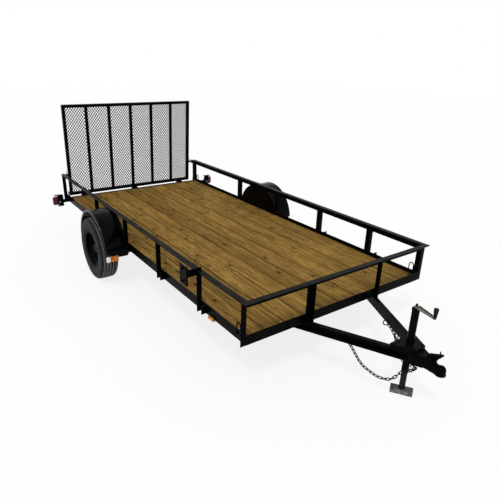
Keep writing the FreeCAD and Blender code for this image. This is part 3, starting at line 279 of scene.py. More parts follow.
# How much each shows, and how far it is raised or sunk
CRACK_SHOWS = 0.85
HALO_SHOWS = 0.35
KNOT_SHOWS = 0.9
SEAM_SHADE_BAND = (PLANK_MIDDLE - 0.034, PLANK_MIDDLE - 0.012, 0, 0.65)
FIBRE_HIGH = 0.5
CRACK_DEEP = 2
RING_DEEP = 0.3
WOOD_BUMP = (0.5, 0.0012)


def timber():
    """Flat-sawn pine planks, each with its own grain, tint, knots and drying cracks."""
    look = Look("timber", 0.8, 0.04)
    across = look.math("DIVIDE", look.math("ADD", look.part(look.place, "Y"), DECK_HALF), PLANK_PITCH)
    board = look.math("FLOOR", across)
    own = look.add("ShaderNodeTexWhiteNoise", {"W": board}, noise_dimensions="1D")
    shift = look.vector("MULTIPLY", own.outputs["Color"], PLANK_SHIFT)
    place = look.vector("ADD", look.place, shift)
    # Knots: a few round cells, with the grain led round them
    stretched = look.vector("MULTIPLY", place, KNOT_CELLS)
    cells = look.add("ShaderNodeTexVoronoi", {"Vector": stretched, "Scale": 1, "Randomness": KNOT_SPREAD},
                     voronoi_dimensions="2D")
    apart = cells.outputs["Distance"]
    rare = look.ramp(look.part(cells.outputs["Color"], "X"), *KNOT_RARE)
    knot = look.times(look.ramp(apart, *KNOT_CORE), rare)
    halo = look.times(look.ramp(apart, *KNOT_HALO), rare)
    led = look.times(look.times(look.ramp(apart, *KNOT_PULL), rare), PULL_WIDE)
    # Growth rings: bands across the board, bent by slow noise along it
    bent = look.math("MULTIPLY_ADD", look.streaks(place, *RING_BEND), BEND_WIDE, look.part(place, "Y"))
    ring_place = look.math("ADD", bent, led)
    fine_ring = look.times(look.rings(ring_place, *FINE_RINGS), FINE_SHARE)
    ring_tone = look.math("MAXIMUM", fine_ring, look.rings(ring_place, *WIDE_RINGS))
    colour = WOOD_MIDDLE
    for tone in UNDER_TONES:
        colour = look.streaked(colour, place, *tone)
    faded = look.ramp(look.streaks(place, *FADING), *FADED)
    colour = look.mix(look.times(ring_tone, faded), colour, WOOD_DARK)
    for tone in OVER_TONES:
        colour = look.streaked(colour, place, *tone)
    tint = look.ramp(own.outputs["Value"], 0, 1, *PLANK_TINT)
    shade = look.add("ShaderNodeVectorMath", {0: colour, "Scale": tint}, operation="SCALE").outputs[0]
    # Drying cracks run with the grain
    off_middle = look.math("SUBTRACT", look.streaks(place, *CRACKS), NOISE_MIDDLE)
    thin = look.ramp(look.math("ABSOLUTE", off_middle), *CRACK_THIN)
    split = look.times(thin, look.ramp(look.noise(*CRACK_PLACES, place), *CRACK_SOME))
    colour = look.mix(look.times(split, CRACK_SHOWS), shade, WOOD_CRACK_AND_SHADE)
    colour = look.mix(look.times(halo, HALO_SHOWS), colour, WOOD_BROWN)
    colour = look.mix(look.times(knot, KNOT_SHOWS), colour, WOOD_CRACK_AND_SHADE)
    # Painted shade of the seams, with weathered edges, a few millimetres in from each plank's sides
    beside = look.math("SUBTRACT", look.math("SUBTRACT", across, board), PLANK_MIDDLE)
    seam_shade = look.ramp(look.math("ABSOLUTE", beside), *SEAM_SHADE_BAND)
    look.set("Base Color", look.mix(seam_shade, colour, WOOD_CRACK_AND_SHADE))
    fibre = look.streaks(place, *FIBRE)
    height = look.math("SUBTRACT", look.times(fibre, FIBRE_HIGH), look.times(split, CRACK_DEEP))
    height = look.math("SUBTRACT", height, look.times(ring_tone, RING_DEEP))
    look.raise_by(height, *WOOD_BUMP)
    look.set("Roughness", look.ramp(fibre, *FIBRE_GLOSS))
    return look.material


RUBBER_DARK = (0.01, 0.01, 0.0105)
RUBBER_LIGHT = (0.02, 0.0197, 0.0195)
# Rubbed grey with a painted highlight for the tread's ribs
RUBBED_AND_LIT_DARK = (0.07, 0.068, 0.066)
RUBBED_AND_LIT_LIGHT = (0.15, 0.146, 0.14)
# Painted shade for the tread's grooves
GROOVE_SHADE = (0.002, 0.002, 0.002)
GROOVE_SHOWS = 0.9
GROOVE_FADE = 0.002
CARCASS_FROM = 0.012
CARCASS_TO = 0.004


def rubber(name, centre, groove, top):
    """Tyre rubber, rubbed grey with a painted highlight on the tread's ribs, and painted shade black in its
    grooves.
    """
    look = Look(name, 0.72, 0.12)
    from_axle = look.vector("SUBTRACT", look.place, centre)
    flat = look.vector("MULTIPLY", from_axle, (1, 0, 1))
    radius = look.vector("LENGTH", flat, output="Value")
    side = look.mix(look.uneven(14, 6, 0.35, 0.72), RUBBER_DARK, RUBBER_LIGHT)
    rubbed_and_lit = look.mix(look.uneven(120, 4, 0.35, 0.7), RUBBED_AND_LIT_DARK, RUBBED_AND_LIT_LIGHT)
    above = look.ramp(radius, groove, groove + GROOVE_FADE)
    inside = look.ramp(radius, groove - CARCASS_FROM, groove - CARCASS_TO)
    # Painted shade: the groove bottoms are darkened to near black
    groove_shade = look.times(look.math("SUBTRACT", 1, above), inside)
    colour = look.mix(look.times(groove_shade, GROOVE_SHOWS), side, GROOVE_SHADE)
    # Rubbed grey and a painted highlight on the ribs, rising to the tread's top
    colour = look.mix(look.ramp(radius, groove + GROOVE_FADE, top), colour, rubbed_and_lit)
    look.set("Base Color", colour)
    look.set("Roughness", look.uneven(60, 4, 0.3, 0.7, 0.55, 0.78))
    look.roughen(*RUBBER_GRAIN)
    return look.material


SPANGLE_SCALE = 260
SPANGLE_SHOWS = 0.25


def plated(name, colour, stain, rough):
    """Zinc-plated steel with a faint spangle and dull stains."""
    look = Look(name, rough, metal=0.75)
    spangle = look.add("ShaderNodeTexVoronoi", {"Vector": look.place, "Scale": SPANGLE_SCALE})
    tone = look.part(spangle.outputs["Color"], "X")
    bright = look.mix(look.times(tone, SPANGLE_SHOWS), colour, stain)
    look.set("Base Color", look.mix(look.uneven(26, 6, 0.45, 0.72, 0, 0.8), bright, stain))
    look.set("Roughness", look.uneven(90, 4, 0.3, 0.7, rough - 0.08, rough + 0.14))
    look.roughen(*ZINC_GRAIN)
    return look.material


FOOT_TOP = 0.043
FOOT_FADE = 0.002
FOOT_METAL = 0.35
FOOT_DARK = (0.065, 0.065, 0.064)
FOOT_LIGHT = (0.235, 0.235, 0.228)
OIL_CLOUDS = (30, 4)
OIL_DARK = (0.0022, 0.0022, 0.0022)
OIL_LIGHT = (0.006, 0.0056, 0.005)


def jack_leg_finish():
    """The leg is oiled dark steel, and the foot below it is plated and scuffed."""
    look = Look("jack_leg", 0.5, 0.15)
    foot = look.ramp(look.part(look.place, "Z"), FOOT_TOP, FOOT_TOP - FOOT_FADE)
    scuffed = look.mix(look.uneven(45, 6, 0.38, 0.68), FOOT_DARK, FOOT_LIGHT)
    oiled = look.mix(look.noise(*OIL_CLOUDS), OIL_DARK, OIL_LIGHT)
    look.set("Base Color", look.mix(foot, oiled, scuffed))
    look.set("Metallic", look.times(foot, FOOT_METAL))
    look.set("Roughness", look.uneven(70, 4, 0.3, 0.7, 0.36, 0.6))
    look.roughen(*LEG_GRAIN)
    return look.material


PRISM_SCALE = 260


def lens(name, deep, bright):
    """Moulded lens plastic: a glossy skin over a grid of small prisms."""
    look = Look(name, 0.2, 0.2)
    prism = look.add("ShaderNodeTexChecker", {"Vector": look.place, "Scale": PRISM_SCALE}).outputs["Fac"]
    look.set("Base Color", look.mix(look.uneven(42, 3, 0.35, 0.65), deep, bright))
    look.set("Coat Weight", 0.15)
    look.set("Coat Roughness", 0.08)
    look.raise_by(prism, 0.35, 0.0006)
    return look.material


MIRROR_SCALE = 330
MIRROR_DARK = (0.66, 0.67, 0.68)
MIRROR_LIGHT = (0.92, 0.93, 0.94)


def reflector():
    """A silvered reflector behind clear plastic."""
    look = Look("reflector", 0.2, 0.6, 0.4)
    cells = look.add("ShaderNodeTexVoronoi", {"Vector": look.place, "Scale": MIRROR_SCALE})
    look.set("Base Color", look.mix(look.part(cells.outputs["Color"], "X"), MIRROR_DARK, MIRROR_LIGHT))
    look.raise_by(cells.outputs["Distance"], 0.4, 0.0006)
    return look.material


def moulded(name, dark, light):
    """Moulded black plastic with a fine grain."""
    look = Look(name, 0.5, 0.12)
    look.set("Base Color", look.mix(look.uneven(50, 4, 0.35, 0.7), dark, light))
    look.roughen(*PLASTIC_GRAIN)
    return look.material


# Each paint's dark and light tone, roughness and gloss, and each other finish's tones
BLACK_DARK = (0.0009, 0.0009, 0.001)
BLACKS = (BLACK_DARK, (0.0024, 0.0024, 0.0026))
black_paint = painted("black_paint", *BLACKS, 0.3, 0.018)
clean_paint = painted("clean_paint", *BLACKS, 0.28, 0.022, dust_and_light_share=0.15)
fender_paint = painted("fender_paint", *BLACKS, 0.12, 0.038)
lip_paint = painted("lip_paint", *BLACKS, 0.11, 0.3, dust_and_light_share=0.2)
mesh_paint = painted("mesh_paint", *BLACKS, 0.5, 0.03, edges=False)
wheel_paint = painted("wheel_paint", (0.0026, 0.0026, 0.0028), (0.0085, 0.0085, 0.009), 0.2, 0.006)
dark_steel = painted("dark_steel", (0.0026, 0.0024, 0.0022), (0.008, 0.0065, 0.005), 0.58, 0.08)
chain_steel = painted("chain_steel", BLACK_DARK, (0.005, 0.0046, 0.004), 0.42, 0.1, edges=False)
zinc = plated("zinc_plate", (0.235, 0.228, 0.195), (0.11, 0.105, 0.088), 0.42)
dull_zinc = plated("dull_zinc", (0.12, 0.118, 0.11), (0.055, 0.052, 0.048), 0.5)
grip_plastic = moulded("grip_plastic", (0.0025, 0.0025, 0.0025), (0.006, 0.006, 0.006))
housing_plastic = moulded("housing_plastic", (0.005, 0.005, 0.005), (0.009, 0.009, 0.009))
red_lens = lens("red_lens", (0.058, 0.0025, 0.005), (0.098, 0.004, 0.008))
amber_lens = lens("amber_lens", (0.33, 0.09, 0.003), (0.74, 0.245, 0.006))
silver = reflector()
# The tyres' solids are replaced, so theirs is all sidewall
tyre_rubber = rubber("tyre_rubber", (0, 0, 0), 1, 2)

SLOT_FINISH = {"black_paint": black_paint, "timber": timber(), "tyre_rubber": tyre_rubber,
               "wheel_paint": wheel_paint, "dark_steel": dark_steel, "bare_steel": zinc,
               "grip_plastic": grip_plastic, "red_lens": red_lens, "amber_lens": amber_lens}
NODE_FINISH = {"jack_leg": jack_leg_finish(), "gate_mesh": mesh_paint, "coupler_latch": clean_paint,
               "fender_right": fender_paint, "fender_left": fender_paint, "coupler": clean_paint,
               "chain_right": chain_steel, "chain_left": chain_steel, "jack_tube": clean_paint,
               "tongue_right": clean_paint, "tongue_left": clean_paint, "jack_plate": clean_paint}


def finish_frame():
    """Give every node of the frame the look of its slot, or its own."""
    slots = {row["node"]: row["material_slot"] for row in frame["record"]["subparts"]}
    for name, obj in frame["nodes"].items():
        obj.data.materials.clear()
        obj.data.materials.append(NODE_FINISH.get(name, SLOT_FINISH[slots[name]]))


finish_frame()


# Shapes
class Shape:
    """The corners and faces of one piece, gathered from simple forms."""

    def __init__(self):
        self.corners = []
        self.faces = []

    def add(self, form, matrix=Matrix()):
        corners, faces = form
        start = len(self.corners)
        self.corners += [matrix @ Vector(corner) for corner in corners]
        self.faces += [[start + index for index in face] for face in faces]

    def piece(self, name, material, slot, sharp=35, replaced=(), body="trailer"):
        """Make the piece, smooth except along its sharp edges, and let it ride on a body."""
        mesh = bpy.data.meshes.new(name)
        mesh.from_pydata(self.corners, [], self.faces)
        mesh.shade_smooth()
        mesh.set_sharp_from_angle(angle=math.radians(sharp))
        mesh.materials.append(material)
        obj = add_object(name, mesh)
        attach(obj, body)
        if replaced:
            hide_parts(*replaced)


def ringed(rings, closed):
    """Faces that join rings of corners, each ring as long as the others, with ends unless it is closed."""
    rows = len(rings)
    count = len(rings[0])
    corners = [corner for ring in rings for corner in ring]
    faces = []
    for row in range(rows if closed else rows - 1):
        here = row * count
        after = (row + 1) % rows * count
        for index in range(count):
            beside = (index + 1) % count
            faces.append([here + index, here + beside, after + beside, after + index])
    if not closed:
        faces.append(list(range(count))[::-1])
        faces.append([(rows - 1) * count + index for index in range(count)])
    return corners, faces


def spoke(angle):
    """A step of one from the middle of the XY plane."""
    return Vector((math.cos(angle), math.sin(angle), 0))


def circle(radius, count, start=0, sweep=2 * math.pi, ends=False):
    """Points on an arc in the XY plane; a whole circle doesn't repeat its first point."""
    steps = count - 1 if ends else count
    return [spoke(start + sweep * index / steps) * radius for index in range(count)]


def upright(point):
    """A point of the XY plane, stood up in the XZ plane."""
    return Vector((point.x, 0, point.y))


def lathe(profile, count):
    """A form turned about Z from (radius, height) points, upwards."""
    rings = [[point + Z_AXIS * height for point in circle(radius, count)] for radius, height in profile]
    return ringed(rings, False)


def turned(profile, wide, tall, count):
    """A lathe form from a profile in shares of its width and height."""
    return lathe([(wide * radius, tall * height) for radius, height in profile], count)


def tube(path, radius, sides=8, closed=False):
    """A round bar along a path; radius is a number or one number for each point."""
    points = [Vector(point) for point in path]
    count = len(points)
    radii = radius if isinstance(radius, list) else [radius] * count
    rings = []
    side = None
    for index, point in enumerate(points):
        before = points[index - 1] if index or closed else point
        after = points[(index + 1) % count] if index < count - 1 or closed else point
        along = (after - before).normalized()
        if side is None:
            side = along.orthogonal()
        side = (side - along * side.dot(along)).normalized()
        other = along.cross(side)
        rings.append([point + side * turn.x + other * turn.y for turn in circle(radii[index], sides)])
    return ringed(rings, closed)


def sided_block(side, low, high, bevel, segments=1):
    """A box with its edges rounded off, given by two corners on the left and mirrored for the right."""
    middle = (Vector(low) + Vector(high)) / 2
    middle.y *= side
    mesh = bmesh.new()
    move = Matrix.Translation(middle) @ Matrix.Diagonal((*(Vector(high) - Vector(low)), 1))
    bmesh.ops.create_cube(mesh, size=1, matrix=move)
    bmesh.ops.bevel(mesh, geom=list(mesh.edges), offset=bevel, segments=segments, affect="EDGES")
    corners = [corner.co.copy() for corner in mesh.verts]
    faces = [[corner.index for corner in face.verts] for face in mesh.faces]
    mesh.free()
    return corners, faces


def aimed(place, direction, turn=0):
    """A matrix that puts a form's Z axis along a direction, at a place."""
    rotation = Z_AXIS.rotation_difference(Vector(direction)).to_matrix().to_4x4()
    return Matrix.Translation(Vector(place)) @ rotation @ Matrix.Rotation(turn, 4, "Z")


# Fasteners' profiles, in shares of their width and height
NUT = ((0.93, 0), (1, 0.12), (1, 0.85), (0.88, 1))
BOLT_END = ((0.3, 0.9), (0.3, 1.45), (0.24, 1.6))
WASHER = ((0.95, 0), (0.95, 0.18), (0.9, 0.25))
BOLT_HEAD = ((1, 0.2), (1, 0.85), (0.86, 1))


def hex_nut(across, tall):
    """A six-sided nut with its corners turned off."""
    return turned(NUT, across / math.sqrt(3), tall, 6)


def add_nut(shape, across, tall, matrix):
    """A nut with the bolt's end in it."""
    shape.add(hex_nut(across, tall), matrix)
    shape.add(turned(BOLT_END, across, tall, 12), matrix)


def add_bolt(shape, across, tall, matrix):
    """A six-sided bolt head on a washer."""
    shape.add(turned(WASHER, across, tall, 24), matrix)
    shape.add(turned(BOLT_HEAD, across / math.sqrt(3), tall, 6), matrix)


BEAD_STEP = 0.0035
BEAD_END = 0.55
BEAD_DIP = 0.86


def bead(start, end, radius):
    """A weld bead between two points, rippled as it was laid."""
    start = Vector(start)
    end = Vector(end)
    count = max(4, int((end - start).length / BEAD_STEP))
    path = [start.lerp(end, index / (count - 1)) for index in range(count)]
    ripple = [radius * (BEAD_END if index in (0, count - 1) else 1 if index % 2 else BEAD_DIP)
              for index in range(count)]
    return tube(path, ripple, 6)


# Tyres: the side's profile and the tread, in shares of the radius and of half the width
SIDE_PROFILE = ((0.562, 0.72), (0.6, 0.735), (0.612, 0.8), (0.628, 0.885), (0.65, 0.915), (0.668, 0.945),
                (0.672, 0.96), (0.69, 0.968), (0.7, 0.972), (0.76, 0.994), (0.8, 1),
                (0.842, 0.994), (0.85, 0.999), (0.858, 0.99), (0.89, 0.976), (0.915, 0.952),
                (0.935, 0.928), (0.94, 0.936), (0.955, 0.905), (0.97, 0.85), (0.982, 0.785))
TREAD_EDGE = 0.7
CROWN_DROP = 0.0095
GROOVES = (-0.5, -0.18, 0.18, 0.5)
GROOVE_HALF = 0.068
GROOVE_WALL = 0.012
GROOVE_DEEP = 0.0085
RUBBED_AND_LIT_DEEP = 0.0042
ZIGZAG = 0.012
SLOT_DEEP = 0.0045
SLOT_FADE = 0.6
SLOT_INNER = 0.6
PITCHES = 64
PITCH_STEPS = ((0, False), (0.03, True), (0.16, True), (0.19, False), (0.6, False))


def tread_columns():
    """Places across the tread from edge to edge, each with its depth."""
    columns = [(-TREAD_EDGE, 0)]
    for groove in GROOVES:
        columns += [(groove - GROOVE_HALF, 0), (groove - GROOVE_HALF + GROOVE_WALL, GROOVE_DEEP),
                    (groove + GROOVE_HALF - GROOVE_WALL, GROOVE_DEEP), (groove + GROOVE_HALF, 0)]
    return columns + [(TREAD_EDGE, 0)]


def tyre_angles():
    """Angles round the tyre, each with whether a slot in the shoulder is open there."""
    pitch = 2 * math.pi / PITCHES
    return [(pitch * (index + share), opened) for index in range(PITCHES) for share, opened in PITCH_STEPS]


def make_tyre(node, name, body):
    """A tyre of the node's size, with a grooved tread and slots in its shoulders."""
    low, high = (Vector(corner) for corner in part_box(node))
    centre = (low + high) / 2
    radius = (high.z - low.z) / 2
    half = (high.y - low.y) / 2
    rings = []
    for angle, opened in tyre_angles():
        zig = ZIGZAG if math.sin(angle * PITCHES) > 0 else -ZIGZAG
        side = [(r * radius, a * half) for r, a in SIDE_PROFILE]
        if opened:
            side[-1] = (side[-1][0] - SLOT_DEEP * SLOT_FADE, side[-1][1])
        ring = [(r, -a) for r, a in side]
        for along, deep in tread_columns():
            crown = radius * (1 - CROWN_DROP * (along / TREAD_EDGE) ** 2)
            cut = SLOT_DEEP if opened and abs(along) > SLOT_INNER else deep
            shift = zig if abs(along) < SLOT_INNER else 0
            ring.append((crown - cut, (along + shift) * half))
        ring += side[::-1]
        rings.append([(centre.x + r * math.sin(angle), centre.y + a, centre.z + r * math.cos(angle))
                      for r, a in ring])
    shape = Shape()
    shape.add(ringed(rings, True))
    look = rubber("rubber_" + body, centre, radius - GROOVE_DEEP, radius - RUBBED_AND_LIT_DEEP)
    shape.piece(name, look, "tyre_rubber", 32, (node,), body)


make_tyre("tyre_right", "tyre_tread_right", "wheel_right")
make_tyre("tyre_left", "tyre_tread_left", "wheel_left")

# Wheel fittings: five nuts, a valve and the dust cap's rim
LUG_COUNT = 5
LUG_TURN = 0.35
LUG_CIRCLE = 0.0475
LUG_FACE = 0.006
LUG = ((0.0085, 0), (0.0115, 0.005), (0.0115, 0.014), (0.0095, 0.019), (0.004, 0.0215))
CAP_FACE = 0.0455
CAP_RADIUS = 0.0315
THIN_WIRE = 0.0016
VALVE_ANGLE = 0.5
VALVE_CIRCLE = 0.158
VALVE_FACE = 0.015
VALVE_LONG = 0.034
VALVE_LEAN = 0.008
STEM_STEPS = (0, 0.2, 0.7, 1)
STEM_RADII = [0.0062, 0.0042, 0.0036, 0.003]
VALVE_CAP = ((0.003, 0), (0.0042, 0.001), (0.0042, 0.01), (0.0028, 0.0115))


def wheel_fittings(tag, outward):
    low, high = (Vector(corner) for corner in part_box("tyre_" + tag))
    centre = (low + high) / 2
    out = Y_AXIS * outward
    nuts = Shape()
    for index in range(LUG_COUNT):
        angle = 2 * math.pi * (index + LUG_TURN) / LUG_COUNT
        place = centre + upright(spoke(angle)) * LUG_CIRCLE + out * LUG_FACE
        nuts.add(lathe(LUG, 6), aimed(place, out, angle))
    ring = [centre + out * CAP_FACE + upright(point) for point in circle(CAP_RADIUS, 32)]
    nuts.add(tube(ring, THIN_WIRE, 6, True))
    nuts.piece("lug_nuts_" + tag, zinc, "bare_steel", body="wheel_" + tag)
    valve = Shape()
    way = upright(spoke(VALVE_ANGLE))
    foot = centre + way * VALVE_CIRCLE + out * VALVE_FACE
    tip = foot + out * VALVE_LONG - way * VALVE_LEAN
    valve.add(tube([foot.lerp(tip, share) for share in STEM_STEPS], STEM_RADII, 10))
    valve.add(lathe(VALVE_CAP, 12), aimed(tip, (tip - foot).normalized()))
    valve.piece("valve_" + tag, housing_plastic, "tyre_rubber", body="wheel_" + tag)


for tag, side in SIDE_NAMES:
    wheel_fittings(tag, side)

# Expanded mesh on the gate: upright strands that zigzag and meet their neighbours
GATE_LEAN = math.radians(3.3)
HINGE = next(Vector(row["pos_m"]) for row in frame["joints"] if row["child"] == "gate")
GATE_GAP = 0.015
GATE_FOOT = 0.006
GATE_TUBE = 0.038
GATE_HEIGHT = 1.215
DIAMOND_WIDE = 0.034
DIAMOND_TALL = 0.045
BOND_HALF = 0.0035
STRAND_WIDE = 0.0087
STRAND_DEEP = 0.0064
STRAND_TILT = 0.0012
gate_turn = Matrix.Translation(HINGE) @ Matrix.Rotation(GATE_LEAN, 4, "Y") @ Matrix.Translation(-HINGE)


def strand_form(path):
    """A flat bar along an upright path."""
    wide = STRAND_WIDE / 2
    deep = STRAND_DEEP / 2
    section = ((-deep, -wide), (deep, -wide), (deep, wide), (-deep, wide))
    return ringed([[(x + dx, y + dy, z) for dx, dy in section] for x, y, z in path], False)


def make_gate_mesh():
    low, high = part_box("gate_mesh")
    half = (high[1] - low[1]) / 2
    bottom = HINGE.z + GATE_FOOT + GATE_TUBE / 2
    top = bottom + GATE_HEIGHT - GATE_TUBE
    face = HINGE.x - GATE_GAP + STRAND_DEEP / 2
    rows = int((top - bottom) / (DIAMOND_TALL / 2))
    strands = int(2 * half / (DIAMOND_WIDE / 2))
    swing = (DIAMOND_WIDE - STRAND_WIDE) / 4
    shape = Shape()
    for strand in range(strands):
        y = -half + (strand + 0.5) * 2 * half / strands
        path = []
        for row in range(rows + 1):
            z = bottom + (top - bottom) * row / rows
            way = 1 if (row + strand) % 2 else -1
            for step in (-BOND_HALF, BOND_HALF):
                path.append((face + way * STRAND_TILT, y + way * swing, min(max(z + step, bottom), top)))
        shape.add(strand_form(path), gate_turn)
    shape.piece("expanded_mesh", mesh_paint, "black_paint", 25, ("gate_mesh",), "gate")


make_gate_mesh()

# Chains of round bar, each link set where the frame has one
LINK_LONG = 0.046
LINK_WIDE = 0.025
LINK_BAR = 0.0038


def islands(mesh):
    """The centres of a mesh's separate solids, from the rear forward."""
    groups = []
    for face in mesh.polygons:
        keys = {tuple(round(value, 5) for value in mesh.vertices[index].co) for index in face.vertices}
        touching = [group for group in groups if group & keys]
        groups = [group for group in groups if not group & keys] + [keys.union(*touching)]
    centres = [Vector([(min(axis) + max(axis)) / 2 for axis in zip(*group)]) for group in groups]
    return sorted(centres, key=lambda centre: centre.x)


def link_form():
    """A link of round bar, long along X and flat in the XY plane."""
    bend = (LINK_WIDE - 2 * LINK_BAR) / 2
    straight = LINK_LONG / 2 - LINK_BAR - bend
    right = [point + X_AXIS * straight for point in circle(bend, 9, -math.pi / 2, math.pi, True)]
    left = [point - X_AXIS * straight for point in circle(bend, 9, math.pi / 2, math.pi, True)]
    return tube(right + left, LINK_BAR, 8, True)


def chain_aim(centres, index):
    """The turn of one link, from its neighbours, with every second link on edge."""
    before = centres[max(index - 1, 0)]
    after = centres[min(index + 1, len(centres) - 1)]
    aim = X_AXIS.rotation_difference(after - before).to_matrix().to_4x4()
    return Matrix.Translation(centres[index]) @ aim @ Matrix.Rotation(math.pi / 2 * (index % 2), 4, "X")


def make_chain(node, name, more=()):
    centres = islands(frame["nodes"][node].data) + [Vector(point) for point in more]
    shape = Shape()
    for index in range(len(centres)):
        shape.add(link_form(), chain_aim(centres, index))
    shape.piece(name, chain_steel, "bare_steel", 60, (node,))
    return centres


HOOK_BAR = 0.0046
HOOK_SEAT = 0.002
EYE_RADIUS = 0.01
EYE_RISE = 0.009
# The hook's bend: places aside and up, each with the bar's share of its thickness there
HOOK_BEND = ((0, 0.022, 1), (0.002, 0.034, 1), (-0.006, 0.046, 1.2), (-0.02, 0.052, 1.35),
             (-0.034, 0.046, 1.3), (-0.04, 0.032, 1.1), (-0.036, 0.02, 1), (-0.026, 0.014, 0.7))
HOOK_GATE = ((0.001, 0.028), (-0.014, 0.024), (-0.03, 0.018))
RIGHT_MORE = ((2.35, -0.068, 0.213), (2.372, -0.066, 0.236), (2.397, -0.063, 0.257))
# Rings: the one that holds the left chain to the drawbar, a quick link on it, and the right hook's ring
RINGS = (((1.95, 0.238, 0.336), 0.027, 0.023), ((2.072, 0.224, 0.27), 0.013, 0.03),
         ((2.447, -0.058, 0.308), 0.013, 0.013))
PICTURE_RIGHT = Vector((0.596, 0.803, 0))


def make_hook(name, centres, up, across):
    """A hook whose eye is through the last link, hung up beside the jack."""
    start = centres[-1] + (centres[-1] - centres[-2]).normalized() * (LINK_LONG / 2 - HOOK_SEAT)
    up = Vector(up).normalized()
    side = (Vector(across) - up * Vector(across).dot(up)).normalized()
    shape = Shape()
    eye = [start + up * EYE_RISE + (side * point.x + up * point.y) for point in circle(EYE_RADIUS, 16)]
    shape.add(tube(eye, HOOK_BAR, 8, True))
    bend = [start + side * a + up * b for a, b, thick in HOOK_BEND]
    shape.add(tube(bend, [HOOK_BAR * thick for a, b, thick in HOOK_BEND], 8))
    shape.add(tube([start + side * a + up * b for a, b in HOOK_GATE], THIN_WIRE, 6))
    shape.piece(name, chain_steel, "bare_steel", 60)


def make_chain_rings():
    shape = Shape()
    for place, wide, tall in RINGS:
        oval = [Vector(place) + PICTURE_RIGHT * point.x * wide + Z_AXIS * point.y * tall
                for point in circle(1, 24)]
        shape.add(tube(oval, HOOK_BAR, 8, True))
    shape.piece("chain_rings", chain_steel, "bare_steel", 60)


right_links = make_chain("chain_right", "chain_links_right", RIGHT_MORE)
left_links = make_chain("chain_left", "chain_links_left")
make_hook("chain_hook_right", right_links, (0.86, 0.05, 0.5), (0.4, 0, -0.9))
make_hook("chain_hook_left", left_links, (0.2, -0.3, 0.93), (1, 0, 0))
make_chain_rings()

# Deck screws above every cross member
SCREW = ((0.0055, 0), (0.0055, 0.0006), (0.0044, 0.001), (0.00187, 0.001), (0.00165, 0.0002))
SCREW_INSET = 0.045
SCREW_AHEAD = 0.024
SCREW_DRIFT = 0.004
DRIFT_RATES = (2.3, 1.7)
CROSS_COUNT = 9
PLANK_COUNT = 10
PLANK_GAP = 0.004


def make_screws():
    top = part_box("deck_planks")[1][2]
    frame_low, frame_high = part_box("frame_side_right")
    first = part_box("cross_members")[0][0]
    pitch = (frame_high[0] - frame_low[0]) / (CROSS_COUNT + 1)
    shape = Shape()
    for member in range(CROSS_COUNT):
        x = first + member * pitch + SCREW_AHEAD
        for board in range(PLANK_COUNT):
            left = -DECK_HALF + board * PLANK_PITCH
            drift = SCREW_DRIFT * math.sin(member * DRIFT_RATES[0] + board * DRIFT_RATES[1])
            for y in (left + SCREW_INSET, left + PLANK_PITCH - PLANK_GAP - SCREW_INSET):
                shape.add(lathe(SCREW, 12), Matrix.Translation((x + drift, y, top)))
    shape.piece("deck_screws", dull_zinc, "bare_steel")


make_screws()

# Weld beads along the feet and heads of the posts, at the stake pockets' fins and on the gate
POST_FRONTS = (1.679, 1.07, 0.34, -0.418, -1.255, -2.526)
POST_LEG = 0.051
POST_EDGE = 0.995
SIDE_Y = 0.99
FRAME_FRONT = 1.681
FRAME_TOP = 0.497
RAIL_LOW = 0.721
POST_BEAD = (0.417, 0.495)
FRONT_POST_Y = 0.4015
FRONT_POST_IN = 0.022
WELD = 0.003
THIN_WELD = 0.0028
FIN_ROWS = (1.596, -2.427)
FIN_APART = 0.023
FIN_HALF = 0.0055
FIN_Y = 0.9925
FIN_BEAD = (0.458, 0.495)
GATE_HALF = 0.931
GATE_BARS = 5
BAR_BEAD_HALF = 0.017
BAR_BEADS = (0.001, 0.024)


def make_welds():
    shape = Shape()
    for front in POST_FRONTS:
        back = front - POST_LEG
        for side in SIDES:
            shape.add(bead(*[(back, side * POST_EDGE, z) for z in POST_BEAD], WELD))
            for z in (FRAME_TOP, RAIL_LOW):
                shape.add(bead(*[(x, side * SIDE_Y, z) for x in (back + WELD, front - WELD)], WELD))
    for side in SIDES:
        for z in (FRAME_TOP, RAIL_LOW):
            ends = [(FRAME_FRONT, side * FRONT_POST_Y + end * FRONT_POST_IN, z) for end in SIDES]
            shape.add(bead(*ends, WELD))
    for row in FIN_ROWS:
        for side in SIDES:
            for way in SIDES:
                for edge in SIDES:
                    x = row + way * FIN_APART + edge * FIN_HALF
                    shape.add(bead(*[(x, side * FIN_Y, z) for z in FIN_BEAD], THIN_WELD))
    shape.piece("frame_welds", black_paint, "black_paint", 60)
    gate = Shape()
    low = HINGE.z + GATE_FOOT + GATE_TUBE
    for bar in range(GATE_BARS):
        y = 2 * GATE_HALF * ((bar + 1) / (GATE_BARS + 1) - 0.5)
        for z in (low, low + GATE_HEIGHT - 2 * GATE_TUBE):
            for back in BAR_BEADS:
                ends = [(HINGE.x - GATE_GAP - back, y + end * BAR_BEAD_HALF, z) for end in SIDES]
                gate.add(bead(*ends, THIN_WELD), gate_turn)
    gate.piece("gate_welds", black_paint, "black_paint", 60, body="gate")


make_welds()

# Rolled lips along the fenders' outer edges
AXLE_X = -0.839
FENDER_MIDDLE = 0.36
FENDER_LIP = 0.3955
FENDER_OUT = 1.225
LIP_RADIUS = 0.0055
LIP_LOW = 0.402


def make_fender_lips():
    shape = Shape()
    foot = math.asin((LIP_LOW - FENDER_MIDDLE) / FENDER_LIP)
    for side in SIDES:
        arc = [Vector((AXLE_X, side * FENDER_OUT, FENDER_MIDDLE)) + upright(point)
               for point in circle(FENDER_LIP, 64, foot, math.pi - 2 * foot, True)]
        shape.add(tube(arc, LIP_RADIUS, 10))
    shape.piece("fender_lips", lip_paint, "black_paint", 50)


make_fender_lips()

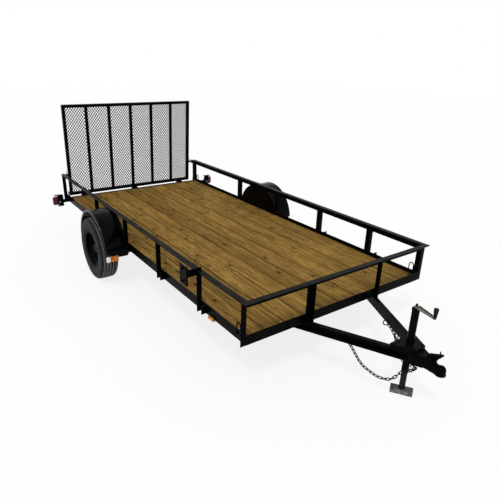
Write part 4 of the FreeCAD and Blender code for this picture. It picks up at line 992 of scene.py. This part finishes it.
# Side markers, as blocks on the left: two corners, the bevel and its segments
MARKER_LENSES = (((1.191, 0.994, 0.402), (1.265, 1.012, 0.43), 0.006, 3),
                 ((-0.439, 1.106, 0.32), (-0.421, 1.19, 0.378), 0.004, 3))
MARKER_BASES = (((1.188, SIDE_Y, 0.4), (1.268, 0.994, 0.432), 0.001),
                ((-0.443, 1.106, 0.318), (-0.439, 1.232, 0.38), 0.001))
MARKER_SILVER = (((-0.439, 1.192, 0.32), (-0.421, 1.232, 0.378), 0.004, 3),)
# Tail lamps, on brackets of three plates
LAMP_BACK = -2.385
LAMP_FRONT = -2.38
LENS_BACK = -2.427
RIB_BACK = -2.4262
LENS_IN = 1.1
LENS_OUT = 1.218
LENS_LOW = 0.412
LENS_TOP = 0.52
LENS_BLOCK = ((LENS_BACK, LENS_IN, LENS_LOW), (LAMP_BACK, LENS_OUT, LENS_TOP), 0.01, 3)
BRACKETS = (((LAMP_BACK, SIDE_Y, 0.437), (LAMP_FRONT, 1.165, 0.482), 0.0012),
            ((LAMP_BACK, 1.088, 0.392), (LAMP_FRONT, 1.165, 0.542), 0.0012),
            ((-2.425, 1.088, 0.537), (LAMP_FRONT, 1.196, 0.542), 0.0012))
RIB_COUNT = 9
RIB_ENDS = (1.112, 1.206)
RIB_LOW = 0.422
RIB_TOP = 0.51
RIB_RADIUS = 0.0036
LAMP_BOLT = (0.014, 0.006)
LAMP_BOLTS = ((1.135, 0.452), (1.153, 0.412))
LENS_SCREW = ((0.004, 0), (0.004, 0.0012), (0.0028, 0.0022))
LENS_SCREWS = (0.42, 0.512)


def both_sides(blocks):
    shape = Shape()
    for side in SIDES:
        for block in blocks:
            shape.add(sided_block(side, *block))
    return shape


def make_markers():
    lenses = both_sides(MARKER_LENSES)
    lenses.piece("marker_lenses", amber_lens, "amber_lens", 50, ("side_markers",))
    both_sides(MARKER_BASES).piece("marker_bases", housing_plastic, "black_paint")
    both_sides(MARKER_SILVER).piece("marker_reflectors", silver, "amber_lens", 50)


def make_tail_lamps():
    """Ribbed lenses on folded brackets, with the outer end of each lens in view from the front."""
    lenses = Shape()
    screws = Shape()
    for side in SIDES:
        lenses.add(sided_block(side, *LENS_BLOCK))
        ends = sorted(side * y for y in RIB_ENDS)
        for index in range(RIB_COUNT):
            z = RIB_LOW + (index + 0.5) * (RIB_TOP - RIB_LOW) / RIB_COUNT
            lenses.add(tube([(RIB_BACK, y, z) for y in ends], RIB_RADIUS, 8))
        for y, z in LAMP_BOLTS:
            add_bolt(screws, *LAMP_BOLT, aimed((LAMP_FRONT, side * y, z), X_AXIS, y))
        for z in LENS_SCREWS:
            place = (RIB_BACK, side * (LENS_IN + LENS_OUT) / 2, z)
            screws.add(lathe(LENS_SCREW, 12), aimed(place, -X_AXIS))
    lenses.piece("tail_lamp_lenses", red_lens, "red_lens", 50, ("tail_lenses",))
    brackets = both_sides(BRACKETS)
    brackets.piece("tail_lamp_brackets", black_paint, "black_paint", 35, ("lamp_brackets",))
    screws.piece("tail_lamp_screws", zinc, "bare_steel")


make_markers()
make_tail_lamps()

# Bolts and nuts of the jack, coupler, spare carrier and lamps: places, and each one's width and height
BOLT = (0.013, 0.007)
JACK_BOLTS = ((2.285, 0.055), (2.285, -0.055), (2.408, 0.045), (2.408, -0.045))
TRAY_TOP = 0.446
TONGUE_BOLTS = (2.42, 2.47)
TONGUE_MIDDLE = 0.375
TONGUE_OUT = 0.41774
TONGUE_SLOPE = 0.4797
CARRIER_NUT = (0.019, 0.011)
CARRIER_FACE = (1.02, -1.13)
CARRIER_NUTS = (0.693, 0.801)
SMALL_BOLT = (0.011, 0.005)
BRACKET_BOLTS = (1.01, 1.036)
BRACKET_MIDDLE = 0.458
# Nuts under the springs' clamps and on the pins at the springs' ends
CLAMP_NUT = (0.017, 0.01)
SPRING_Y = 0.945
CLAMP_Y = 0.0305
CLAMP_X = 0.035
CLAMP_LOW = 0.272
PIN_NUT = (0.022, 0.008)
PIN_Y = 0.037
PIN_SUNK = 0.0045
PIN_X = 0.32
PIN_Z = 0.364


def make_bolts():
    shape = Shape()
    for x, y in JACK_BOLTS:
        add_bolt(shape, *BOLT, aimed((x, y, TRAY_TOP), Z_AXIS, x))
    for x in TONGUE_BOLTS:
        for side in SIDES:
            outer = TONGUE_OUT - TONGUE_SLOPE * (x - FRAME_FRONT)
            normal = Vector((TONGUE_SLOPE, side, 0)).normalized()
            add_bolt(shape, *BOLT, aimed((x, side * outer, TONGUE_MIDDLE), normal, x))
    for z in CARRIER_NUTS:
        add_nut(shape, *CARRIER_NUT, aimed((*CARRIER_FACE, z), -Y_AXIS, z))
    for side in SIDES:
        for y in BRACKET_BOLTS:
            add_bolt(shape, *SMALL_BOLT, aimed((LAMP_FRONT, side * y, BRACKET_MIDDLE), X_AXIS, y))
    shape.piece("bolts", black_paint, "black_paint")


def make_spring_nuts():
    shape = Shape()
    for side in SIDES:
        for way in SIDES:
            y = SPRING_Y + way * CLAMP_Y
            for end in SIDES:
                place = (AXLE_X + end * CLAMP_X, side * y, CLAMP_LOW)
                shape.add(hex_nut(*CLAMP_NUT), aimed(place, -Z_AXIS, y))
        for end in SIDES:
            for way in SIDES:
                y = SPRING_Y + way * PIN_Y
                place = (AXLE_X + end * PIN_X, side * (y - way * PIN_SUNK), PIN_Z)
                shape.add(hex_nut(*PIN_NUT), aimed(place, Y_AXIS * side * way, y))
    shape.piece("spring_nuts", dark_steel, "dark_steel")


make_bolts()
make_spring_nuts()

# The jack's small parts
JACK_X = 2.338
JACK_NUT = (0.018, 0.009)
JACK_NUT_LOW = 0.749
CRANK_TOP = 0.74
CRANK_TURN = math.radians(-13)
CRANK_REACH = 0.175
CRANK_HALF = 0.018
CRANK_TAPER = 0.008
CRANK_SHEET = 0.0022
CRANK_SUNK = 0.001
CRANK_EDGE = ((0, 0.002), (0.06, 0.01), (0.5, 0.01), (0.8, 0.01), (0.86, 0.002))
FOOT_TURN = math.radians(33)
FOOT_BOLT = (0.013, 0.006)
FOOT_BOLT_AT = Vector((0.062, -0.03, 0.0185))
GRIP_RIBS = 6
GRIP_FIRST = 0.8
GRIP_RADIUS = 0.01
GRIP_SPREAD = 0.007
GRIP_LONG = 0.072
GRIP_RIB = 0.0013
GRIP_END = ((0.0168, 0), (0.0165, 0.002), (0.012, 0.0045), (0.0058, 0.005))


def make_crank():
    """The crank's nut and its folded edges."""
    nut = Shape()
    add_nut(nut, *JACK_NUT, aimed((JACK_X, 0, JACK_NUT_LOW), Z_AXIS))
    nut.piece("jack_nut", dark_steel, "bare_steel")
    edges = Shape()
    turn = Matrix.Translation((JACK_X, 0, 0)) @ Matrix.Rotation(CRANK_TURN, 4, "Z")
    for side in SIDES:
        rings = []
        for share, tall in CRANK_EDGE:
            outer = side * (CRANK_HALF - CRANK_TAPER * share)
            inner = outer - side * CRANK_SHEET
            section = ((outer, -CRANK_SUNK), (outer, tall), (inner, tall), (inner, -CRANK_SUNK))
            rings.append([(CRANK_REACH * share, y, CRANK_TOP + z) for y, z in section])
        edges.add(ringed(rings, False), turn)
    edges.piece("crank_edges", zinc, "bare_steel", 30)


def make_foot_bolt():
    foot = Shape()
    turn = Matrix.Rotation(FOOT_TURN, 3, "Z")
    add_bolt(foot, *FOOT_BOLT, aimed(X_AXIS * JACK_X + turn @ FOOT_BOLT_AT, turn @ -Y_AXIS))
    foot.piece("foot_bolt", dull_zinc, "bare_steel", body="jack_foot")


def make_grip():
    """The ribs and the end of the crank's grip."""
    grip = Shape()
    centre = X_AXIS * JACK_X + spoke(CRANK_TURN) * CRANK_REACH + Z_AXIS * CRANK_TOP
    for index in range(GRIP_RIBS):
        share = (index + GRIP_FIRST) / (GRIP_RIBS + 1)
        ring = circle(GRIP_RADIUS + GRIP_SPREAD * share, 28)
        grip.add(tube([centre + point + Z_AXIS * GRIP_LONG * share for point in ring], GRIP_RIB, 6, True))
    grip.add(lathe(GRIP_END, 28), Matrix.Translation(centre + Z_AXIS * GRIP_LONG))
    grip.piece("grip_ribs", grip_plastic, "grip_plastic", 50)


make_crank()
make_foot_bolt()
make_grip()

# Latch pins with ring handles in the gate's sleeves, drawn in from the catches
GATE_PIN = Vector((-2.626, 0.951, 0.744))
GATE_PIN_STEPS = (-0.018, 0.027, 0.031)
GATE_PIN_RADII = [0.0068, 0.0068, 0.005]
COIL_START = 0.022
COIL_LONG = 0.0085
COIL_RADIUS = 0.0088
COIL_POINTS = 40
COIL_TURNS = 4
COIL_WIRE = 0.0011
HANDLE_RISE = 0.031
HANDLE_RADIUS = 0.017
HANDLE_BAR = 0.0022


def make_gate_pin(tag, side):
    shape = Shape()
    centre = gate_turn @ Vector((GATE_PIN.x, side * GATE_PIN.y, GATE_PIN.z))
    out = Y_AXIS * side
    shape.add(tube([centre + out * step for step in GATE_PIN_STEPS], GATE_PIN_RADII, 16))
    coil = []
    for index in range(COIL_POINTS):
        share = index / COIL_POINTS
        turn = upright(spoke(2 * math.pi * share * COIL_TURNS)) * COIL_RADIUS
        coil.append(centre + out * (COIL_START + COIL_LONG * share) + turn)
    shape.add(tube(coil, COIL_WIRE, 6))
    ring = [centre + upright(point) + Z_AXIS * HANDLE_RISE for point in circle(HANDLE_RADIUS, 20)]
    shape.add(tube(ring, HANDLE_BAR, 6, True))
    shape.piece("gate_pin_" + tag, dull_zinc, "bare_steel", 50, body="gate")


for tag, side in SIDE_NAMES:
    make_gate_pin(tag, side)

# The coupler latch's safety pin with its split ring, and the short pin that stands on the lever
LATCH_PIN = Vector((2.53, 0, 0.424))
LATCH_STEPS = (-0.036, -0.033, 0.033, 0.036)
LATCH_RADII = [0.0025, 0.0032, 0.0032, 0.0025]
SPLIT_RADIUS = 0.012
SPLIT_DROP = 0.011
SPLIT_WIRE = 0.0014
LEVER_PIN = Vector((2.578, 0, 0.503))
LEVER_STEPS = (-0.035, -0.002, 0)
LEVER_RADII = [0.0045, 0.0045, 0.003]


def make_coupler_pin():
    shape = Shape()
    pin = [LATCH_PIN + Y_AXIS * step for step in LATCH_STEPS]
    shape.add(tube(pin, LATCH_RADII, 10))
    ring = [pin[0] + upright(point) - Z_AXIS * SPLIT_DROP for point in circle(SPLIT_RADIUS, 18)]
    shape.add(tube(ring, SPLIT_WIRE, 6, True))
    shape.add(tube([LEVER_PIN + Z_AXIS * step for step in LEVER_STEPS], LEVER_RADII, 12))
    shape.piece("coupler_pin", chain_steel, "bare_steel", 50)


make_coupler_pin()

# Floor, light and background
FLOOR_HALF = 30
FLOOR_DROP = 0.001
FLOOR_TONE = (0.92, 0.92, 0.92)
FLOOR_ROUGH = 0.9
FLOOR_GLOSS = 0.1
FLOOR_WHITE = 0.82
WHITE = (1, 1, 1)
SKY_LIGHT = 0.74
SUN_LIGHT = 1.05
SUN_WIDE = math.radians(12)
SUN_FROM = Vector((0.35, -0.45, 1))


def seen_directly(tree):
    """One for camera, glossy and transmitted rays, and nought for light that falls on things."""
    path = add_node(tree, "ShaderNodeLightPath").outputs
    value = path["Is Camera Ray"]
    for name in ("Is Glossy Ray", "Is Transmission Ray"):
        value = add_node(tree, "ShaderNodeMath", {0: value, 1: path[name]}, operation="MAXIMUM").outputs[0]
    return value


def floor_finish():
    """A pale look that shows nearly white and keeps the trailer's shadow."""
    look = Look("floor", FLOOR_ROUGH, FLOOR_GLOSS)
    look.set("Base Color", FLOOR_TONE)
    white = look.times(seen_directly(look.tree), FLOOR_WHITE)
    glow = look.add("ShaderNodeEmission", {"Strength": 1})
    inputs = {0: white, 1: look.shader.outputs[0], 2: glow.outputs[0]}
    mixed = look.add("ShaderNodeMixShader", inputs).outputs[0]
    join(look.tree, look.tree.nodes["Material Output"].inputs["Surface"], mixed)
    return look.material


def make_floor():
    mesh = bpy.data.meshes.new("floor")
    square = ((-1, -1), (1, -1), (1, 1), (-1, 1))
    mesh.from_pydata([(x * FLOOR_HALF, y * FLOOR_HALF, -FLOOR_DROP) for x, y in square], [], [(0, 1, 2, 3)])
    mesh.materials.append(floor_finish())
    floor = add_object("floor", mesh)


def make_light():
    """A white sky at a plain level and one broad, soft sun."""
    world = bpy.data.worlds.new("world")
    bpy.context.scene.world = world
    world.use_nodes = True
    tree = world.node_tree
    inputs = {"Value": seen_directly(tree), "To Min": SKY_LIGHT, "To Max": 1}
    level = add_node(tree, "ShaderNodeMapRange", inputs).outputs[0]
    background = tree.nodes["Background"].inputs
    join(tree, background["Color"], WHITE)
    join(tree, background["Strength"], level)
    sun = bpy.data.lights.new("sun", "SUN")
    sun.energy = SUN_LIGHT
    sun.angle = SUN_WIDE
    lamp = add_object("sun", sun)
    lamp.rotation_mode = "QUATERNION"
    lamp.rotation_quaternion = Z_AXIS.rotation_difference(SUN_FROM)


make_floor()
make_light()
bpy.context.scene.view_settings.view_transform = "Standard"
